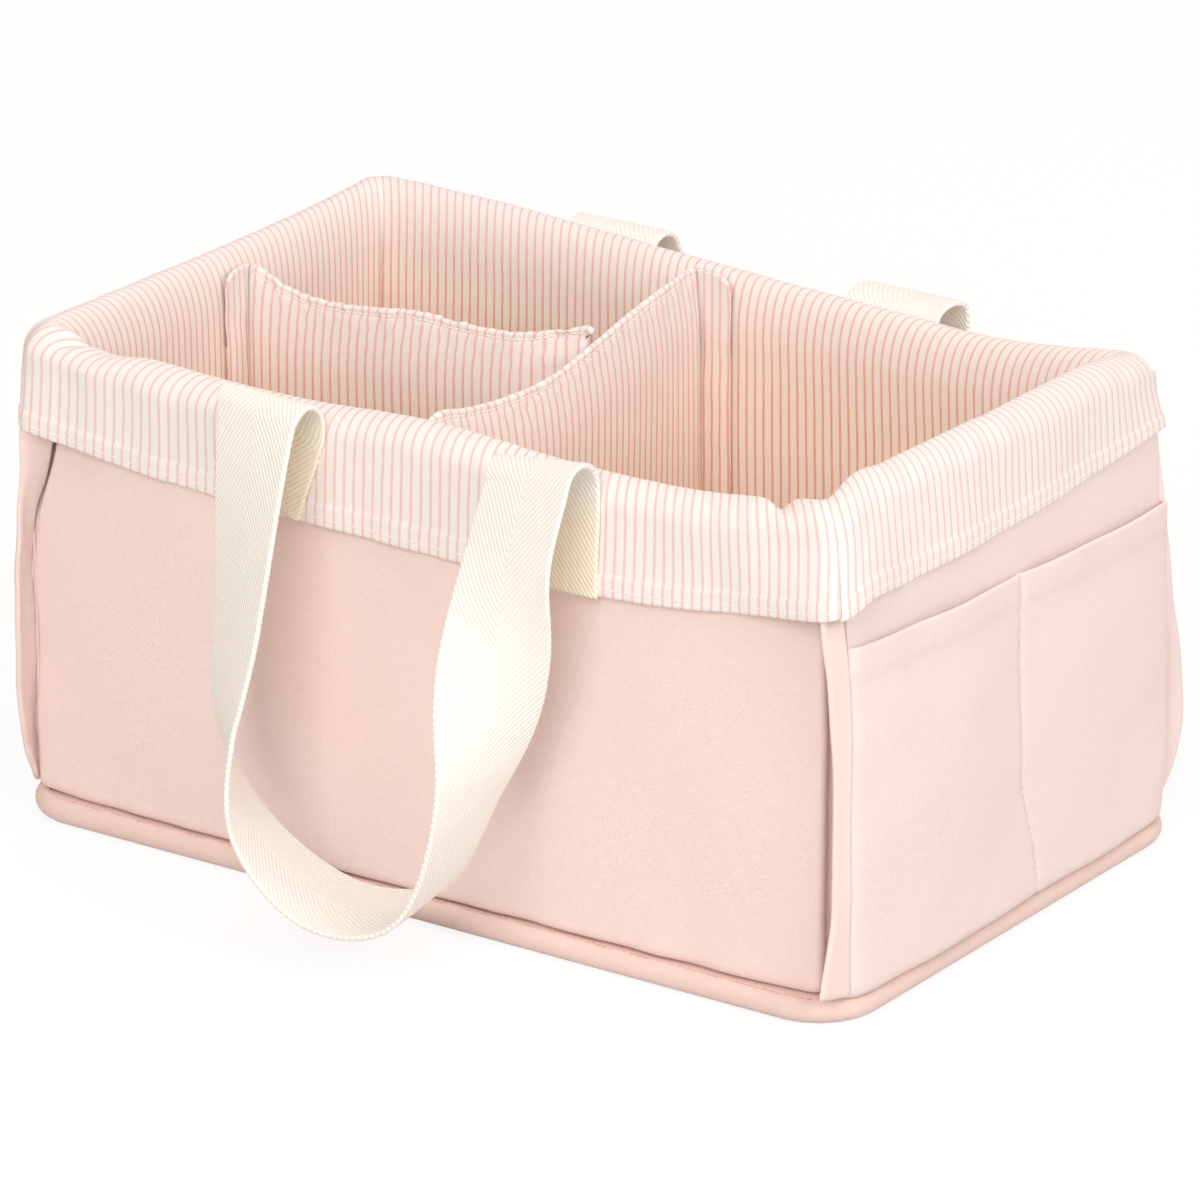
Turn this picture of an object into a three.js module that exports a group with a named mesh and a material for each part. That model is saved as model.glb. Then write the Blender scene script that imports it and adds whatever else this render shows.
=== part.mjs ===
// Diaper caddy: four padded walls on a padded base, a striped lining that goes over the rim as a cuff, two padded
// dividers that lift out, a pocket on each end, and two webbing handles that hang down outside.
// Millimetres. +X runs along the front, +Y to the back, +Z up. The origin is on the floor, under the middle.
import * as THREE from "three";

// Cloth and play
const cloth = 1.2; // a layer of the cotton
const clearance = 0.3; // between pieces that touch
const mitre_play = 0.25; // each wall stops this far short of the corner's mitre

// Base
const base_length = 360;
const base_width = 230;
const base_thickness = 8.5;
const base_corner_radius = 25;
const board_margin = 26; // from the base's edge to the stiff board's
const board_thickness = 2.5;
const board_corner_radius = 8;

// Walls
const end_setback = 5.5; // from the base's edge to an end wall's face
const side_setback = 11; // from the base's edge to a long wall's face
const wall_thickness = 14;
const wall_puff_depth = 4.5; // how far the padding pushes a long wall's face out
const end_puff_depth = 2.5; // and an end wall's
const puff_foot_share = 0.28; // where the foot and the rim cut the arch of the padding
const puff_rim_share = 0.93;
// Heights of the rim at equal steps along each wall, from one corner to the next, anticlockwise from the front left
const rim_front = [187, 179, 178, 178.5, 178.5, 180, 187];
const rim_right = [187, 188.5, 190, 190.5, 190.5, 190, 186];
const rim_back = [186, 179, 180, 182, 184.5, 187, 187.5];
const rim_left = [187.5, 185.5, 185, 185, 185.5, 186, 187];
const cuff_depth = 40; // from the rim down to the cuff's hem
const foam_turn_share = 0.435; // of a half turn, by which the foam's upper edge is rounded off

// Corner seam strips
const strip_width = 11;
const strip_thickness = 2.2;
const strip_drop = 3; // from the cuff's hem down to the strip's upper end
const strip_round_share = 0.12; // of the strip's height that its lower end takes to round off

// Pockets
const pocket_height = 134; // of the mouth above the floor
const pocket_margin = 1; // from the wall's corner
const pocket_depth = 6; // how far each half stands off the wall
const pocket_seam_share = 0.56; // of the width, where the stitching divides it
const pocket_floor_share = 0.3; // of the height that the fullness takes to open

// Dividers
const divider_thickness = 9;
const divider_edge = 3; // thickness at the sewn edges
const divider_corner_radius = 13; // of the upper corners
const divider_taper = 26; // height over which the padding thins to the upper edge
const cross_place = -15; // the cross divider's middle, along the front
const cross_front_height = 177;
const cross_back_height = 183.5;
const cross_sag = 11.5;
const cross_sag_peak_share = 0.43; // of the way back, where the sag is deepest
const long_place = 7; // the long divider's middle, from front to back
const long_height = 180;
const long_sag = 4;
const flap_reach = 11; // how far a flap lies beyond its divider's face
const tape_thickness = 1;
const tape_foot = 22; // height of the loop tapes' lower ends
const tape_head = 152; // and of their upper ends

// Handles
const webbing_width = 40;
const webbing_thickness = 2;
const handle_reach = 57.5; // from the middle to each sewn end's middle
// The webbing's middle between the two folds: along the wall, out from the folds' axis, and down from it
const handle_line = [
  [-55.5, 15.5, 24.5],
  [-53.5, 23, 59],
  [-51.5, 30.5, 100.5],
  [-38, 36, 132.5],
  [-1, 39.5, 149.5],
  [34.5, 36.5, 140],
  [51.5, 31.5, 99],
  [55, 23.5, 55],
  [55.5, 16.5, 23],
];
const handle_twist = [0, 20, 34, 46, 76, 94, 94, 76, 50, 20, 0]; // degrees at the folds and at the places between
const fold_drop = 6.5; // from the rim's crest at the folds down to their axis, which the handle swings on
const fold_inner = 9.5; // from the axis to the sewn end's middle
const fold_outer = 6.5; // from the axis to the hanging leg's middle
const fold_tail = 8; // of webbing below the axis, at the sewn end
const fold_gap = 3; // between that tail and the sewn end
const fold_lean = 17; // degrees that the legs lean out where they leave the fold

// Steps along the pieces
const panel_steps = 14;
const panel_rise_steps = 6;
const rim_steps = 8;
const cuff_steps = 3;
const pocket_steps = 24;
const divider_steps = 14;
const strip_steps = 8;
const corner_steps = 5;
const edge_steps = 6;
const fold_steps = 8;
const end_steps = 4;
const loop_steps = 48;

const { lerp, degToRad, smoothstep } = THREE.MathUtils;
const UP = new THREE.Vector3(0, 0, 1);
const half_length = base_length / 2 - end_setback;
const half_width = base_width / 2 - side_setback;
const wall_foot = base_thickness + clearance;

// Finishes
const finish = (color, roughness) => ({ color, roughness, metalness: 0 });
const blush = finish(0xf4d6cb, 0.9);
const pale_blush = finish(0xf5e1d9, 0.9);
const striped = finish(0xf9ebe2, 0.9);
const natural = finish(0xf8efdf, 0.95);
const foam = finish(0xf0efe8, 1);
const hook_and_loop = finish(0xf3d9c8, 1);
const board = finish(0xd8d4cc, 0.6);

// A closed solid from points and triangles, turned to face out.
function closed(points, triangles) {
  let volume = 0;
  for (const [a, b, c] of triangles) {
    volume += points[a].dot(points[b].clone().cross(points[c]));
  }
  const index = triangles.flatMap(([a, b, c]) => (volume < 0 ? [a, c, b] : [a, b, c]));
  const geometry = new THREE.BufferGeometry().setFromPoints(points).setIndex(index);
  geometry.computeVertexNormals();
  return geometry;
}

// A closed sheet or pad between two surfaces, each a function of two shares, across and up.
function between(face, back, across, up) {
  const row = across + 1;
  const sheet = row * (up + 1);
  const points = [];
  for (const surface of [face, back]) {
    for (let j = 0; j <= up; j++) {
      for (let i = 0; i <= across; i++) points.push(surface(i / across, j / up));
    }
  }
  const triangles = [];
  const quad = (a, b, c, d) => triangles.push([a, b, c], [a, c, d]);
  for (let j = 0; j < up; j++) {
    for (let i = 0; i < across; i++) {
      const a = j * row + i;
      quad(a, a + 1, a + row + 1, a + row);
      quad(sheet + a, sheet + a + row, sheet + a + row + 1, sheet + a + 1);
    }
    const left = j * row;
    const right = left + across;
    quad(left, left + row, sheet + left + row, sheet + left);
    quad(right, sheet + right, sheet + right + row, right + row);
  }
  for (let i = 0; i < across; i++) {
    const top = up * row + i;
    quad(i, sheet + i, sheet + i + 1, i + 1);
    quad(top, top + 1, sheet + top + 1, sheet + top);
  }
  return closed(points, triangles);
}

// A closed solid through a row of rings with the same number of points. Each end is closed by a fan to its middle.
function loft(rings) {
  const count = rings[0].length;
  const points = rings.flat();
  const triangles = [];
  for (let k = 0; k + 1 < rings.length; k++) {
    for (let i = 0; i < count; i++) {
      const next = (i + 1) % count;
      const [a, b, c, d] = [k * count + i, k * count + next, (k + 1) * count + next, (k + 1) * count + i];
      triangles.push([a, b, c], [a, c, d]);
    }
  }
  for (const [k, turned] of [[0, true], [rings.length - 1, false]]) {
    const middle = rings[k].reduce((sum, p) => sum.add(p), new THREE.Vector3()).divideScalar(count);
    points.push(middle);
    for (let i = 0; i < count; i++) {
      const pair = [k * count + i, k * count + ((i + 1) % count)];
      triangles.push(turned ? [points.length - 1, pair[1], pair[0]] : [points.length - 1, ...pair]);
    }
  }
  return closed(points, triangles);
}

// A ring round a rectangle with rounded corners, at one height.
function roundedRing(halfX, halfY, radius, z) {
  const ring = [];
  const corners = [[1, 1], [-1, 1], [-1, -1], [1, -1]];
  corners.forEach(([sx, sy], quarter) => {
    for (let i = 0; i <= corner_steps; i++) {
      const angle = ((quarter + i / corner_steps) * Math.PI) / 2;
      const x = sx * (halfX - radius) + radius * Math.cos(angle);
      const y = sy * (halfY - radius) + radius * Math.sin(angle);
      ring.push(new THREE.Vector3(x, y, z));
    }
  });
  return ring;
}

// One of the four walls: which way it runs and faces, its half length, and its face's distance from the middle.
class Wall {
  constructor(turn, halfAlong, halfOut, rim, fullness) {
    this.along = new THREE.Vector3(1, 0, 0).applyAxisAngle(UP, turn);
    this.out = new THREE.Vector3(0, -1, 0).applyAxisAngle(UP, turn);
    this.rim = new THREE.SplineCurve(rim.map((height, i) => new THREE.Vector2(i, height)));
    Object.assign(this, { halfAlong, halfOut, fullness });
  }

  // The rim's crest at a share from -1 to 1 of the way along.
  crest(share) {
    return this.rim.getPoint((share + 1) / 2).y;
  }

  // How far the padding pushes the face out.
  puff(share, z) {
    const up = THREE.MathUtils.clamp((z - base_thickness) / (this.crest(share) - base_thickness), 0, 1);
    return this.fullness * (1 - share ** 4) * Math.sin(Math.PI * lerp(puff_foot_share, puff_rim_share, up));
  }

  // A point at a distance along from the middle, a depth in from the face, and a height.
  at(distance, depth, z) {
    return new THREE.Vector3()
      .addScaledVector(this.along, distance)
      .addScaledVector(this.out, this.halfOut - depth)
      .addScaledVector(UP, z);
  }

  // The same at a share of the way along, between the corner mitres.
  mitred(share, depth, z, pushed = 0) {
    const reach = this.halfAlong - depth - mitre_play;
    return this.at(share * reach, depth - pushed, z);
  }
}

const walls = {
  front: new Wall(0, half_length, half_width, rim_front, wall_puff_depth),
  right: new Wall(Math.PI / 2, half_width, half_length, rim_right, end_puff_depth),
  back: new Wall(Math.PI, half_length, half_width, rim_back, wall_puff_depth),
  left: new Wall(-Math.PI / 2, half_width, half_length, rim_left, end_puff_depth),
};

const caddy = new THREE.Group();
caddy.name = "diaper_caddy";

function place(parent, name, geometry, look) {
  const mesh = new THREE.Mesh(geometry, new THREE.MeshStandardMaterial(look));
  mesh.name = name;
  parent.add(mesh);
  return mesh;
}

// Base: a padded slab with a rolled edge, hollowed on top for a stiff board, under the floor lining
function basePad() {
  const roll = base_thickness / 2;
  const rings = [];
  for (let i = 0; i <= edge_steps; i++) {
    const angle = (Math.PI * i) / edge_steps;
    const inset = roll * (1 - Math.sin(angle));
    const ring = [base_length / 2 - inset, base_width / 2 - inset, base_corner_radius - inset];
    rings.push(roundedRing(...ring, roll - roll * Math.cos(angle)));
  }
  const bed = board_margin - clearance;
  const bedRing = [base_length / 2 - bed, base_width / 2 - bed, board_corner_radius + clearance];
  rings.push(roundedRing(...bedRing, base_thickness));
  rings.push(roundedRing(...bedRing, base_thickness - board_thickness - 2 * clearance));
  return loft(rings);
}

function baseBoard() {
  const sizes = [base_length / 2 - board_margin, base_width / 2 - board_margin, board_corner_radius];
  const top = base_thickness - clearance;
  return loft([roundedRing(...sizes, top - board_thickness), roundedRing(...sizes, top)]);
}

function floorLining() {
  const inset = wall_thickness + clearance;
  const x = half_length - inset;
  const y = half_width - inset;
  const edge = (z) => [[x, y], [-x, y], [-x, -y], [x, -y]].map(([px, py]) => new THREE.Vector3(px, py, z));
  return loft([edge(wall_foot), edge(wall_foot + cloth)]);
}

place(caddy, "base_pad", basePad(), blush);
place(caddy, "base_board", baseBoard(), board);
place(caddy, "floor_lining", floorLining(), striped);

// Walls: an outer panel, a foam sheet and a lining panel that is folded over the rim and hangs outside as the cuff
const rim_radius = (wall_thickness + clearance + cloth) / 2;
const rim_middle = wall_thickness - rim_radius; // depth of the rim roll's centre

function outerPanel(wall) {
  const surface = (depth) => (u, v) => {
    const share = 2 * u - 1;
    const z = lerp(wall_foot, wall.crest(share) - rim_radius, v);
    return wall.mitred(share, depth, z, wall.puff(share, z));
  };
  return between(surface(0), surface(cloth), panel_steps, panel_rise_steps);
}

function wallFoam(wall) {
  const outer = cloth + clearance;
  const inner = wall_thickness - cloth - 2 * clearance;
  const middle = (outer + inner) / 2;
  const half = (inner - outer) / 2;
  const round = rim_radius - cloth - 2 * clearance;
  const surface = (toward) => (u, v) => {
    const share = 2 * u - 1;
    const springing = wall.crest(share) - rim_radius;
    const rise = v * panel_rise_steps * 2;
    const straight = Math.min(rise / panel_rise_steps, 1);
    const turn = Math.max(rise / panel_rise_steps - 1, 0) * Math.PI * foam_turn_share;
    const z = lerp(wall_foot, springing, straight) + round * Math.sin(turn);
    const pushed = toward > 0 ? 0 : wall.puff(share, z);
    return wall.mitred(share, middle + toward * half * Math.cos(turn), z, pushed);
  };
  return between(surface(-1), surface(1), panel_steps, panel_rise_steps * 2);
}

function lining(wall) {
  const steps = panel_rise_steps + rim_steps + cuff_steps;
  const surface = (radius) => (u, v) => {
    const share = 2 * u - 1;
    const crest = wall.crest(share);
    const springing = crest - rim_radius;
    const step = v * steps;
    const inside = Math.min(step / panel_rise_steps, 1);
    const turn = Math.PI * THREE.MathUtils.clamp((step - panel_rise_steps) / rim_steps, 0, 1);
    const outside = Math.max((step - panel_rise_steps - rim_steps) / cuff_steps, 0);
    const straight = turn === 0 ? lerp(wall_foot, springing, inside) : springing;
    const z = lerp(straight, crest - cuff_depth, outside) + radius * Math.sin(turn);
    const pushed = (wall.puff(share, z) * (1 - Math.cos(turn))) / 2;
    return wall.mitred(share, rim_middle + radius * Math.cos(turn), z, pushed);
  };
  return between(surface(rim_radius), surface(rim_radius - cloth), panel_steps, steps);
}

for (const [side, wall] of Object.entries(walls)) {
  const end = side === "left" || side === "right";
  place(caddy, `${side}_outer_panel`, outerPanel(wall), end ? pale_blush : blush);
  place(caddy, `${side}_wall_foam`, wallFoam(wall), foam);
  place(caddy, `${side}_lining`, lining(wall), striped);
}

// Corner seam strips: they stand out past the long walls, in line with the end walls
function cornerStrip(wall, end) {
  const reach = half_length - strip_thickness;
  const top = wall.crest(end) - cuff_depth - strip_drop;
  const surface = (offset) => (u, v) => {
    const z = lerp(wall_foot + clearance, top, v);
    const width = strip_width * Math.sqrt(Math.min(v / strip_round_share + strip_round_share, 1));
    return wall.at(end * (reach + offset), -(2 * clearance + width * u), z);
  };
  return between(surface(strip_thickness), surface(0), 1, strip_steps);
}

for (const side of ["front", "back"]) {
  const wall = walls[side];
  for (const end of [-1, 1]) {
    const toRight = end * wall.along.x > 0;
    place(caddy, `${side}_${toRight ? "right" : "left"}_corner_strip`, cornerStrip(wall, end), pale_blush);
  }
}

// Pockets: one panel on each end, sewn at its sides and foot and once down its height
function pocket(wall) {
  const seam = wall.along.y > 0 ? pocket_seam_share : 1 - pocket_seam_share;
  const surface = (layer) => (u, v) => {
    const z = lerp(wall_foot, pocket_height, v);
    const half = u < seam ? u / seam : (u - seam) / (1 - seam);
    const full = Math.sin(Math.PI * half) ** 0.7 * smoothstep(v, 0, pocket_floor_share);
    const distance = (2 * u - 1) * (wall.halfAlong - pocket_margin);
    const share = distance / wall.halfAlong;
    return wall.at(distance, -(wall.puff(share, z) + clearance + pocket_depth * full + layer), z);
  };
  return between(surface(cloth), surface(0), pocket_steps, panel_rise_steps);
}

place(caddy, "left_pocket", pocket(walls.left), pale_blush);
place(caddy, "right_pocket", pocket(walls.right), pale_blush);

// Handles: each webbing strap is sewn to the cuff at both ends, folds over outwards and hangs as a loop
function foldAxis(wall) {
  const share = handle_reach / wall.halfAlong;
  const z = Math.max(wall.crest(share), wall.crest(-share)) - fold_drop;
  const nearShare = (handle_reach - webbing_width / 2) / wall.halfAlong;
  const cuffFace = cloth + clearance + wall.puff(nearShare, z - fold_tail);
  return { out: wall.halfOut + cuffFace + clearance + webbing_thickness / 2 + fold_inner, z };
}

function handleEnd(wall, sign) {
  const foot = wall.crest((sign * handle_reach) / wall.halfAlong) - cuff_depth + 2 * cloth;
  const top = foldAxis(wall).z - fold_tail - fold_gap;
  const surface = (layer) => (u, v) => {
    const distance = sign * handle_reach + (u - 0.5) * webbing_width;
    const z = lerp(foot, top, v);
    const share = distance / wall.halfAlong;
    return wall.at(distance, -(wall.puff(share, z) + cloth + 2 * clearance + layer), z);
  };
  return between(surface(webbing_thickness), surface(0), end_steps, end_steps);
}

// A ring of the webbing's section round a point of its middle line.
function webbingRing(middle, across, normal) {
  const corners = [[1, 1], [-1, 1], [-1, -1], [1, -1]];
  return corners.map(([w, t]) =>
    middle.clone()
      .addScaledVector(across, (w * webbing_width) / 2)
      .addScaledVector(normal, (t * webbing_thickness) / 2));
}

// The short tail and the fold above the left sewn end, as rings. Coordinates: x along, y in, z up.
function leftFold(axis) {
  const across = new THREE.Vector3(-1, 0, 0);
  const middle = new THREE.Vector3(-handle_reach, -axis.out, axis.z);
  const inward = new THREE.Vector3(0, 1, 0);
  const tail = middle.clone().addScaledVector(inward, fold_inner).addScaledVector(UP, -fold_tail);
  const rings = [webbingRing(tail, across, inward)];
  const sweep = Math.PI - degToRad(fold_lean);
  for (let i = 0; i <= fold_steps; i++) {
    const angle = (sweep * i) / fold_steps;
    const radius = lerp(fold_inner, fold_outer, smoothstep(angle, 0, sweep));
    const normal = new THREE.Vector3(0, Math.cos(angle), Math.sin(angle));
    rings.push(webbingRing(middle.clone().addScaledVector(normal, radius), across, normal));
  }
  return rings;
}

// From the left fold the webbing hangs down, turns through a quarter turn, runs along the bottom and up to the right.
function handleLoop(axis) {
  const mirrored = (p) => new THREE.Vector3(-p.x, p.y, p.z);
  const left = leftFold(axis);
  const right = left.map((ring) => ring.map(mirrored)).reverse();
  const start = left.at(-1).reduce((sum, p) => sum.add(p), new THREE.Vector3()).divideScalar(left[0].length);
  const places = handle_line.map(([x, out, down]) => new THREE.Vector3(x, -axis.out - out, axis.z - down));
  const line = new THREE.CatmullRomCurve3([start, ...places, mirrored(start)], false, "catmullrom");
  const turns = new THREE.SplineCurve(handle_twist.map((turn, i) => new THREE.Vector2(i, degToRad(turn))));
  const rings = [];
  for (let i = 1; i < loop_steps; i++) {
    const share = i / loop_steps;
    const forward = line.getTangent(share);
    const face = new THREE.Vector3(0, -1, 0);
    face.addScaledVector(forward, -face.dot(forward)).normalize();
    const twist = turns.getPoint(share).y;
    const normal = face.clone().multiplyScalar(Math.cos(twist));
    normal.addScaledVector(forward.clone().cross(face), Math.sin(twist));
    rings.push(webbingRing(line.getPoint(share), forward.clone().cross(normal), normal));
  }
  return loft([...left, ...rings, ...right]);
}

for (const [side, wall] of [["front", walls.front], ["back", walls.back]]) {
  for (const sign of [-1, 1]) {
    const toRight = sign * wall.along.x > 0;
    place(caddy, `${side}_handle_${toRight ? "right" : "left"}_end`, handleEnd(wall, sign), natural);
  }
  const loop = place(caddy, `${side}_handle_loop`, handleLoop(foldAxis(wall)), natural);
  loop.rotation.z = side === "back" ? Math.PI : 0;
}

// Dividers: padded panels with a thin sewn upper edge, held by flaps that lie on strips of loop tape
const divider_foot = wall_foot + cloth + clearance;
const flap_stack = clearance + tape_thickness + clearance; // from the wall's lining to a flap
const pad_stack = flap_stack + cloth + clearance; // from the wall's lining to a divider's end

// Thickness of the padding: thinner towards the ends and the upper edge.
function padding(across, belowTop) {
  const ends = 1 - Math.abs(2 * across - 1) ** 6;
  const rise = smoothstep(belowTop, 0, divider_taper);
  return lerp(divider_edge, divider_thickness, ends * Math.sqrt(rise));
}

// How far the upper corners are rounded down, at a distance from the nearer end.
function roundedDown(fromEnd) {
  const past = Math.max(divider_corner_radius - fromEnd, 0);
  return divider_corner_radius - Math.sqrt(divider_corner_radius ** 2 - past ** 2);
}

function crossPad() {
  const sagPower = Math.log(0.5) / Math.log(cross_sag_peak_share);
  const end = half_width - wall_thickness - pad_stack;
  const surface = (toward) => (u, v) => {
    const line = lerp(cross_front_height, cross_back_height, u) - cross_sag * Math.sin(Math.PI * u ** sagPower) ** 4;
    const top = line - roundedDown(Math.min(u, 1 - u) * 2 * end);
    const z = lerp(divider_foot, top, v);
    const x = cross_place + (toward * padding(u, top - z)) / 2;
    return new THREE.Vector3(x, (2 * u - 1) * end, z);
  };
  return between(surface(1), surface(-1), divider_steps, divider_steps);
}

const cross_face = cross_place - divider_thickness / 2; // the face that the long divider meets
const long_start = -half_length + wall_thickness + pad_stack;
const long_end = cross_face - pad_stack;

function longPad() {
  const surface = (toward) => (u, v) => {
    const line = long_height - long_sag * Math.sin(Math.PI * u);
    const top = line - roundedDown(Math.min(u, 1 - u) * (long_end - long_start));
    const z = lerp(divider_foot, top, v);
    const y = long_place + (toward * padding(u, top - z)) / 2;
    return new THREE.Vector3(lerp(long_start, long_end, u), y, z);
  };
  return between(surface(-1), surface(1), divider_steps, divider_steps);
}

// A strip that lies on a wall's lining, from one distance along to another, and from a depth behind its face.
function wallStrip(wall, from, to, offset, thickness, foot, head) {
  const surface = (layer) => (u, v) => {
    const z = lerp(foot, head, v);
    return wall.at(lerp(from, to, u), wall_thickness + offset + layer, z);
  };
  return between(surface(thickness), surface(0), 1, 2);
}

// A flat upright strip from two corners.
function uprightStrip(x, y, foot, head) {
  const surface = (plane) => (u, v) => new THREE.Vector3(x[plane], lerp(y[0], y[1], u), lerp(foot, head, v));
  return between(surface(1), surface(0), 1, 1);
}

const half_pad = divider_thickness / 2;
const cross_divider = new THREE.Group();
const long_divider = new THREE.Group();
caddy.add(cross_divider, long_divider);
place(cross_divider, "cross_divider_pad", crossPad(), striped);
place(long_divider, "long_divider_pad", longPad(), striped);

for (const [side, wall] of [["front", walls.front], ["back", walls.back]]) {
  const middle = cross_place * wall.along.x;
  const span = [middle - half_pad * wall.along.x, middle + (half_pad + flap_reach) * wall.along.x];
  const height = side === "front" ? cross_front_height : cross_back_height;
  const flapHead = height - divider_corner_radius;
  const flap = wallStrip(wall, ...span, flap_stack, cloth, divider_foot, flapHead);
  const tape = wallStrip(wall, ...span, clearance, tape_thickness, tape_foot, tape_head);
  place(cross_divider, `cross_divider_${side}_flap`, flap, striped);
  place(caddy, `${side}_loop_tape`, tape, hook_and_loop);
}

{
  const head = long_height - divider_corner_radius;
  const middle = -long_place;
  const span = [middle - half_pad, middle + half_pad + flap_reach];
  const flap = wallStrip(walls.left, ...span, flap_stack, cloth, divider_foot, head);
  const tape = wallStrip(walls.left, ...span, clearance, tape_thickness, tape_foot, tape_head);
  place(long_divider, "long_divider_left_flap", flap, striped);
  place(caddy, "left_loop_tape", tape, hook_and_loop);

  const y = [long_place - half_pad - flap_reach, long_place + half_pad];
  const tapeX = [cross_face - clearance - tape_thickness, cross_face - clearance];
  const flapX = [cross_face - flap_stack - cloth, cross_face - flap_stack];
  place(long_divider, "long_divider_right_flap", uprightStrip(flapX, y, divider_foot, tape_head), striped);
  place(cross_divider, "cross_divider_loop_tape", uprightStrip(tapeX, y, tape_foot, tape_head), hook_and_loop);
}

export default caddy;
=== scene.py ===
"""A soft diaper caddy: padded walls on a padded base, a striped lining turned over the rim as a cuff, two
padded dividers, a pocket on each end and two hanging webbing handles.

Sizes are in millimetres until a mesh is made."""

from __future__ import annotations

import logging
import math
from dataclasses import dataclass, field
from enum import Enum

import bpy
import numpy as np
from mathutils import Matrix, Vector

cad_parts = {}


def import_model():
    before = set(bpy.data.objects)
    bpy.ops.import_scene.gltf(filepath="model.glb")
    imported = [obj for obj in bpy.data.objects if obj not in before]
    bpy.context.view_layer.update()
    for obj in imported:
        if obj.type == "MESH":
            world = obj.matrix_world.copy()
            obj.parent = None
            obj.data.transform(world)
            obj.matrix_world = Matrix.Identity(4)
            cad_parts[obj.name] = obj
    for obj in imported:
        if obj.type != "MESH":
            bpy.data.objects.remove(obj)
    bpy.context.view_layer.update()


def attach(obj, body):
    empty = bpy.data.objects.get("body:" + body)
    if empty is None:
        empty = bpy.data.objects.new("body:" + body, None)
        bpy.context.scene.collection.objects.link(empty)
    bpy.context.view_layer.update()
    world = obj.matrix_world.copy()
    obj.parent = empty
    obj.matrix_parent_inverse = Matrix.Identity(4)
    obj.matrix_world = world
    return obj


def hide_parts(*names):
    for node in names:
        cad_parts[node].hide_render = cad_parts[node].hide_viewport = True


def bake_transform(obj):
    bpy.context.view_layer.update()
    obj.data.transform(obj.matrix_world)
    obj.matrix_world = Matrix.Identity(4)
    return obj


log = logging.getLogger("caddy")
MM = 0.001
UP = np.array([0.0, 0.0, 1.0])
HEADINGS = np.array([[1, 0, 0], [0, 1, 0], [-1, 0, 0], [0, -1, 0]], float)
Grid = np.ndarray
Looks = dict[str, bpy.types.Material]


# ---------------------------------------------------------------- numbers along lines and surfaces


def smoothstep(x: Grid, low: float, high: float) -> Grid:
    """The smooth ramp from 0 at low to 1 at high: 3t2 - 2t3."""
    t = np.clip((np.asarray(x, float) - low) / (high - low), 0.0, 1.0)
    return t * t * (3.0 - 2.0 * t)


def bump_at(x: Grid, middle: float, width: float) -> Grid:
    """A bell of height 1 at middle, with that half width: exp of minus the squared distance."""
    return np.exp(-(((np.asarray(x, float) - middle) / width) ** 2))


def rounded(distance: Grid, radius: float) -> Grid:
    """The quarter circle that rises from 0 at an edge to 1 at radius: the root of 1 - (1 - d/r) squared."""
    t = np.clip(np.asarray(distance, float) / radius, 0.0, 1.0)
    return np.sqrt(np.maximum(1.0 - (1.0 - t) ** 2, 0.0))


def thinned(distance: Grid, radius: float, least: float = 0.3) -> Grid:
    """A sheet's thickness towards its edge: the quarter circle, but no less than a share of the whole."""
    return np.maximum(rounded(distance, radius), least)


def dip(distance: Grid, depth: float, reach: float) -> Grid:
    """A seam's dip: that depth at the seam, up along a quarter circle to nothing at reach."""
    return depth * (1 - rounded(distance, reach))


def fading(distance: Grid, height: float, reach: float) -> Grid:
    """A height that fades with distance: times e to the power of minus distance over reach."""
    return height * np.exp(-distance / reach)


def spline(values: Grid | tuple, t: Grid) -> Grid:
    """Uniform Catmull-Rom curve through values.

    Args:
        values: one row for each place, or one number for each.
        t: shares from 0 to 1 of the whole curve.

    Returns:
        The curve's values at t.
    """
    v = np.asarray(values, float)
    v = np.concatenate([2 * v[:1] - v[1:2], v, 2 * v[-1:] - v[-2:-1]])
    at = np.clip(np.asarray(t, float), 0.0, 1.0) * (len(v) - 3)
    k = np.minimum(at.astype(int), len(v) - 4)
    f = at - k
    if v.ndim > 1:
        f = f[..., None]
    a, b, c, d = v[k], v[k + 1], v[k + 2], v[k + 3]
    return 0.5 * (2 * b + (c - a) * f + (2 * a - 5 * b + 4 * c - d) * f**2 + (3 * b - a - 3 * c + d) * f**3)


def ripple(x: Grid, y: Grid, size: float, seed: int, waves: int = 9) -> Grid:
    """Smooth seeded unevenness: the mean of waves in random directions, whose lengths lie around size.

    Args:
        x: first coordinate, in millimetres.
        y: second coordinate, in millimetres.
        size: about how far apart the swells lie.
        seed: the seed.
        waves: how many waves are added.

    Returns:
        Values of about -1 to 1.
    """
    rng = np.random.default_rng(seed)
    total = np.zeros(np.broadcast(x, y).shape)
    for _ in range(waves):
        angle, length = rng.uniform(0, math.tau), size * rng.uniform(0.7, 1.8)
        phase = rng.uniform(0, math.tau)
        total = total + np.sin(math.tau * (x * math.cos(angle) + y * math.sin(angle)) / length + phase)
    return total / (1.5 * math.sqrt(waves))


@dataclass(frozen=True)
class Creases:
    """Seeded creases of a cloth: about how far apart they lie, their height and their seed."""

    size: float
    height: float
    seed: int

    def at(self, x: Grid, y: Grid, seed: int = 0) -> Grid:
        """Their height at each point, with a seed that is added to their own."""
        return self.height * ripple(x, y, self.size, self.seed + seed)


def edge_dense(count: int, crowd: float = 0.6) -> Grid:
    """Shares from 0 to 1, closer together near both ends: t less a part of sin(2 pi t) / 2 pi."""
    t = np.linspace(0.0, 1.0, count)
    return t - crowd * np.sin(math.tau * t) / math.tau


def runs(*steps: tuple[float, float, int]) -> Grid:
    """Even steps in runs that follow on one another, each given by its start, its end and its count."""
    parts = [np.linspace(*step)[:-1] for step in steps]
    return np.concatenate([*parts, [steps[-1][1]]])


def unit(v: Grid) -> Grid:
    """Each vector divided by its length."""
    return v / np.maximum(np.linalg.norm(v, axis=-1, keepdims=True), 1e-9)


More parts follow.
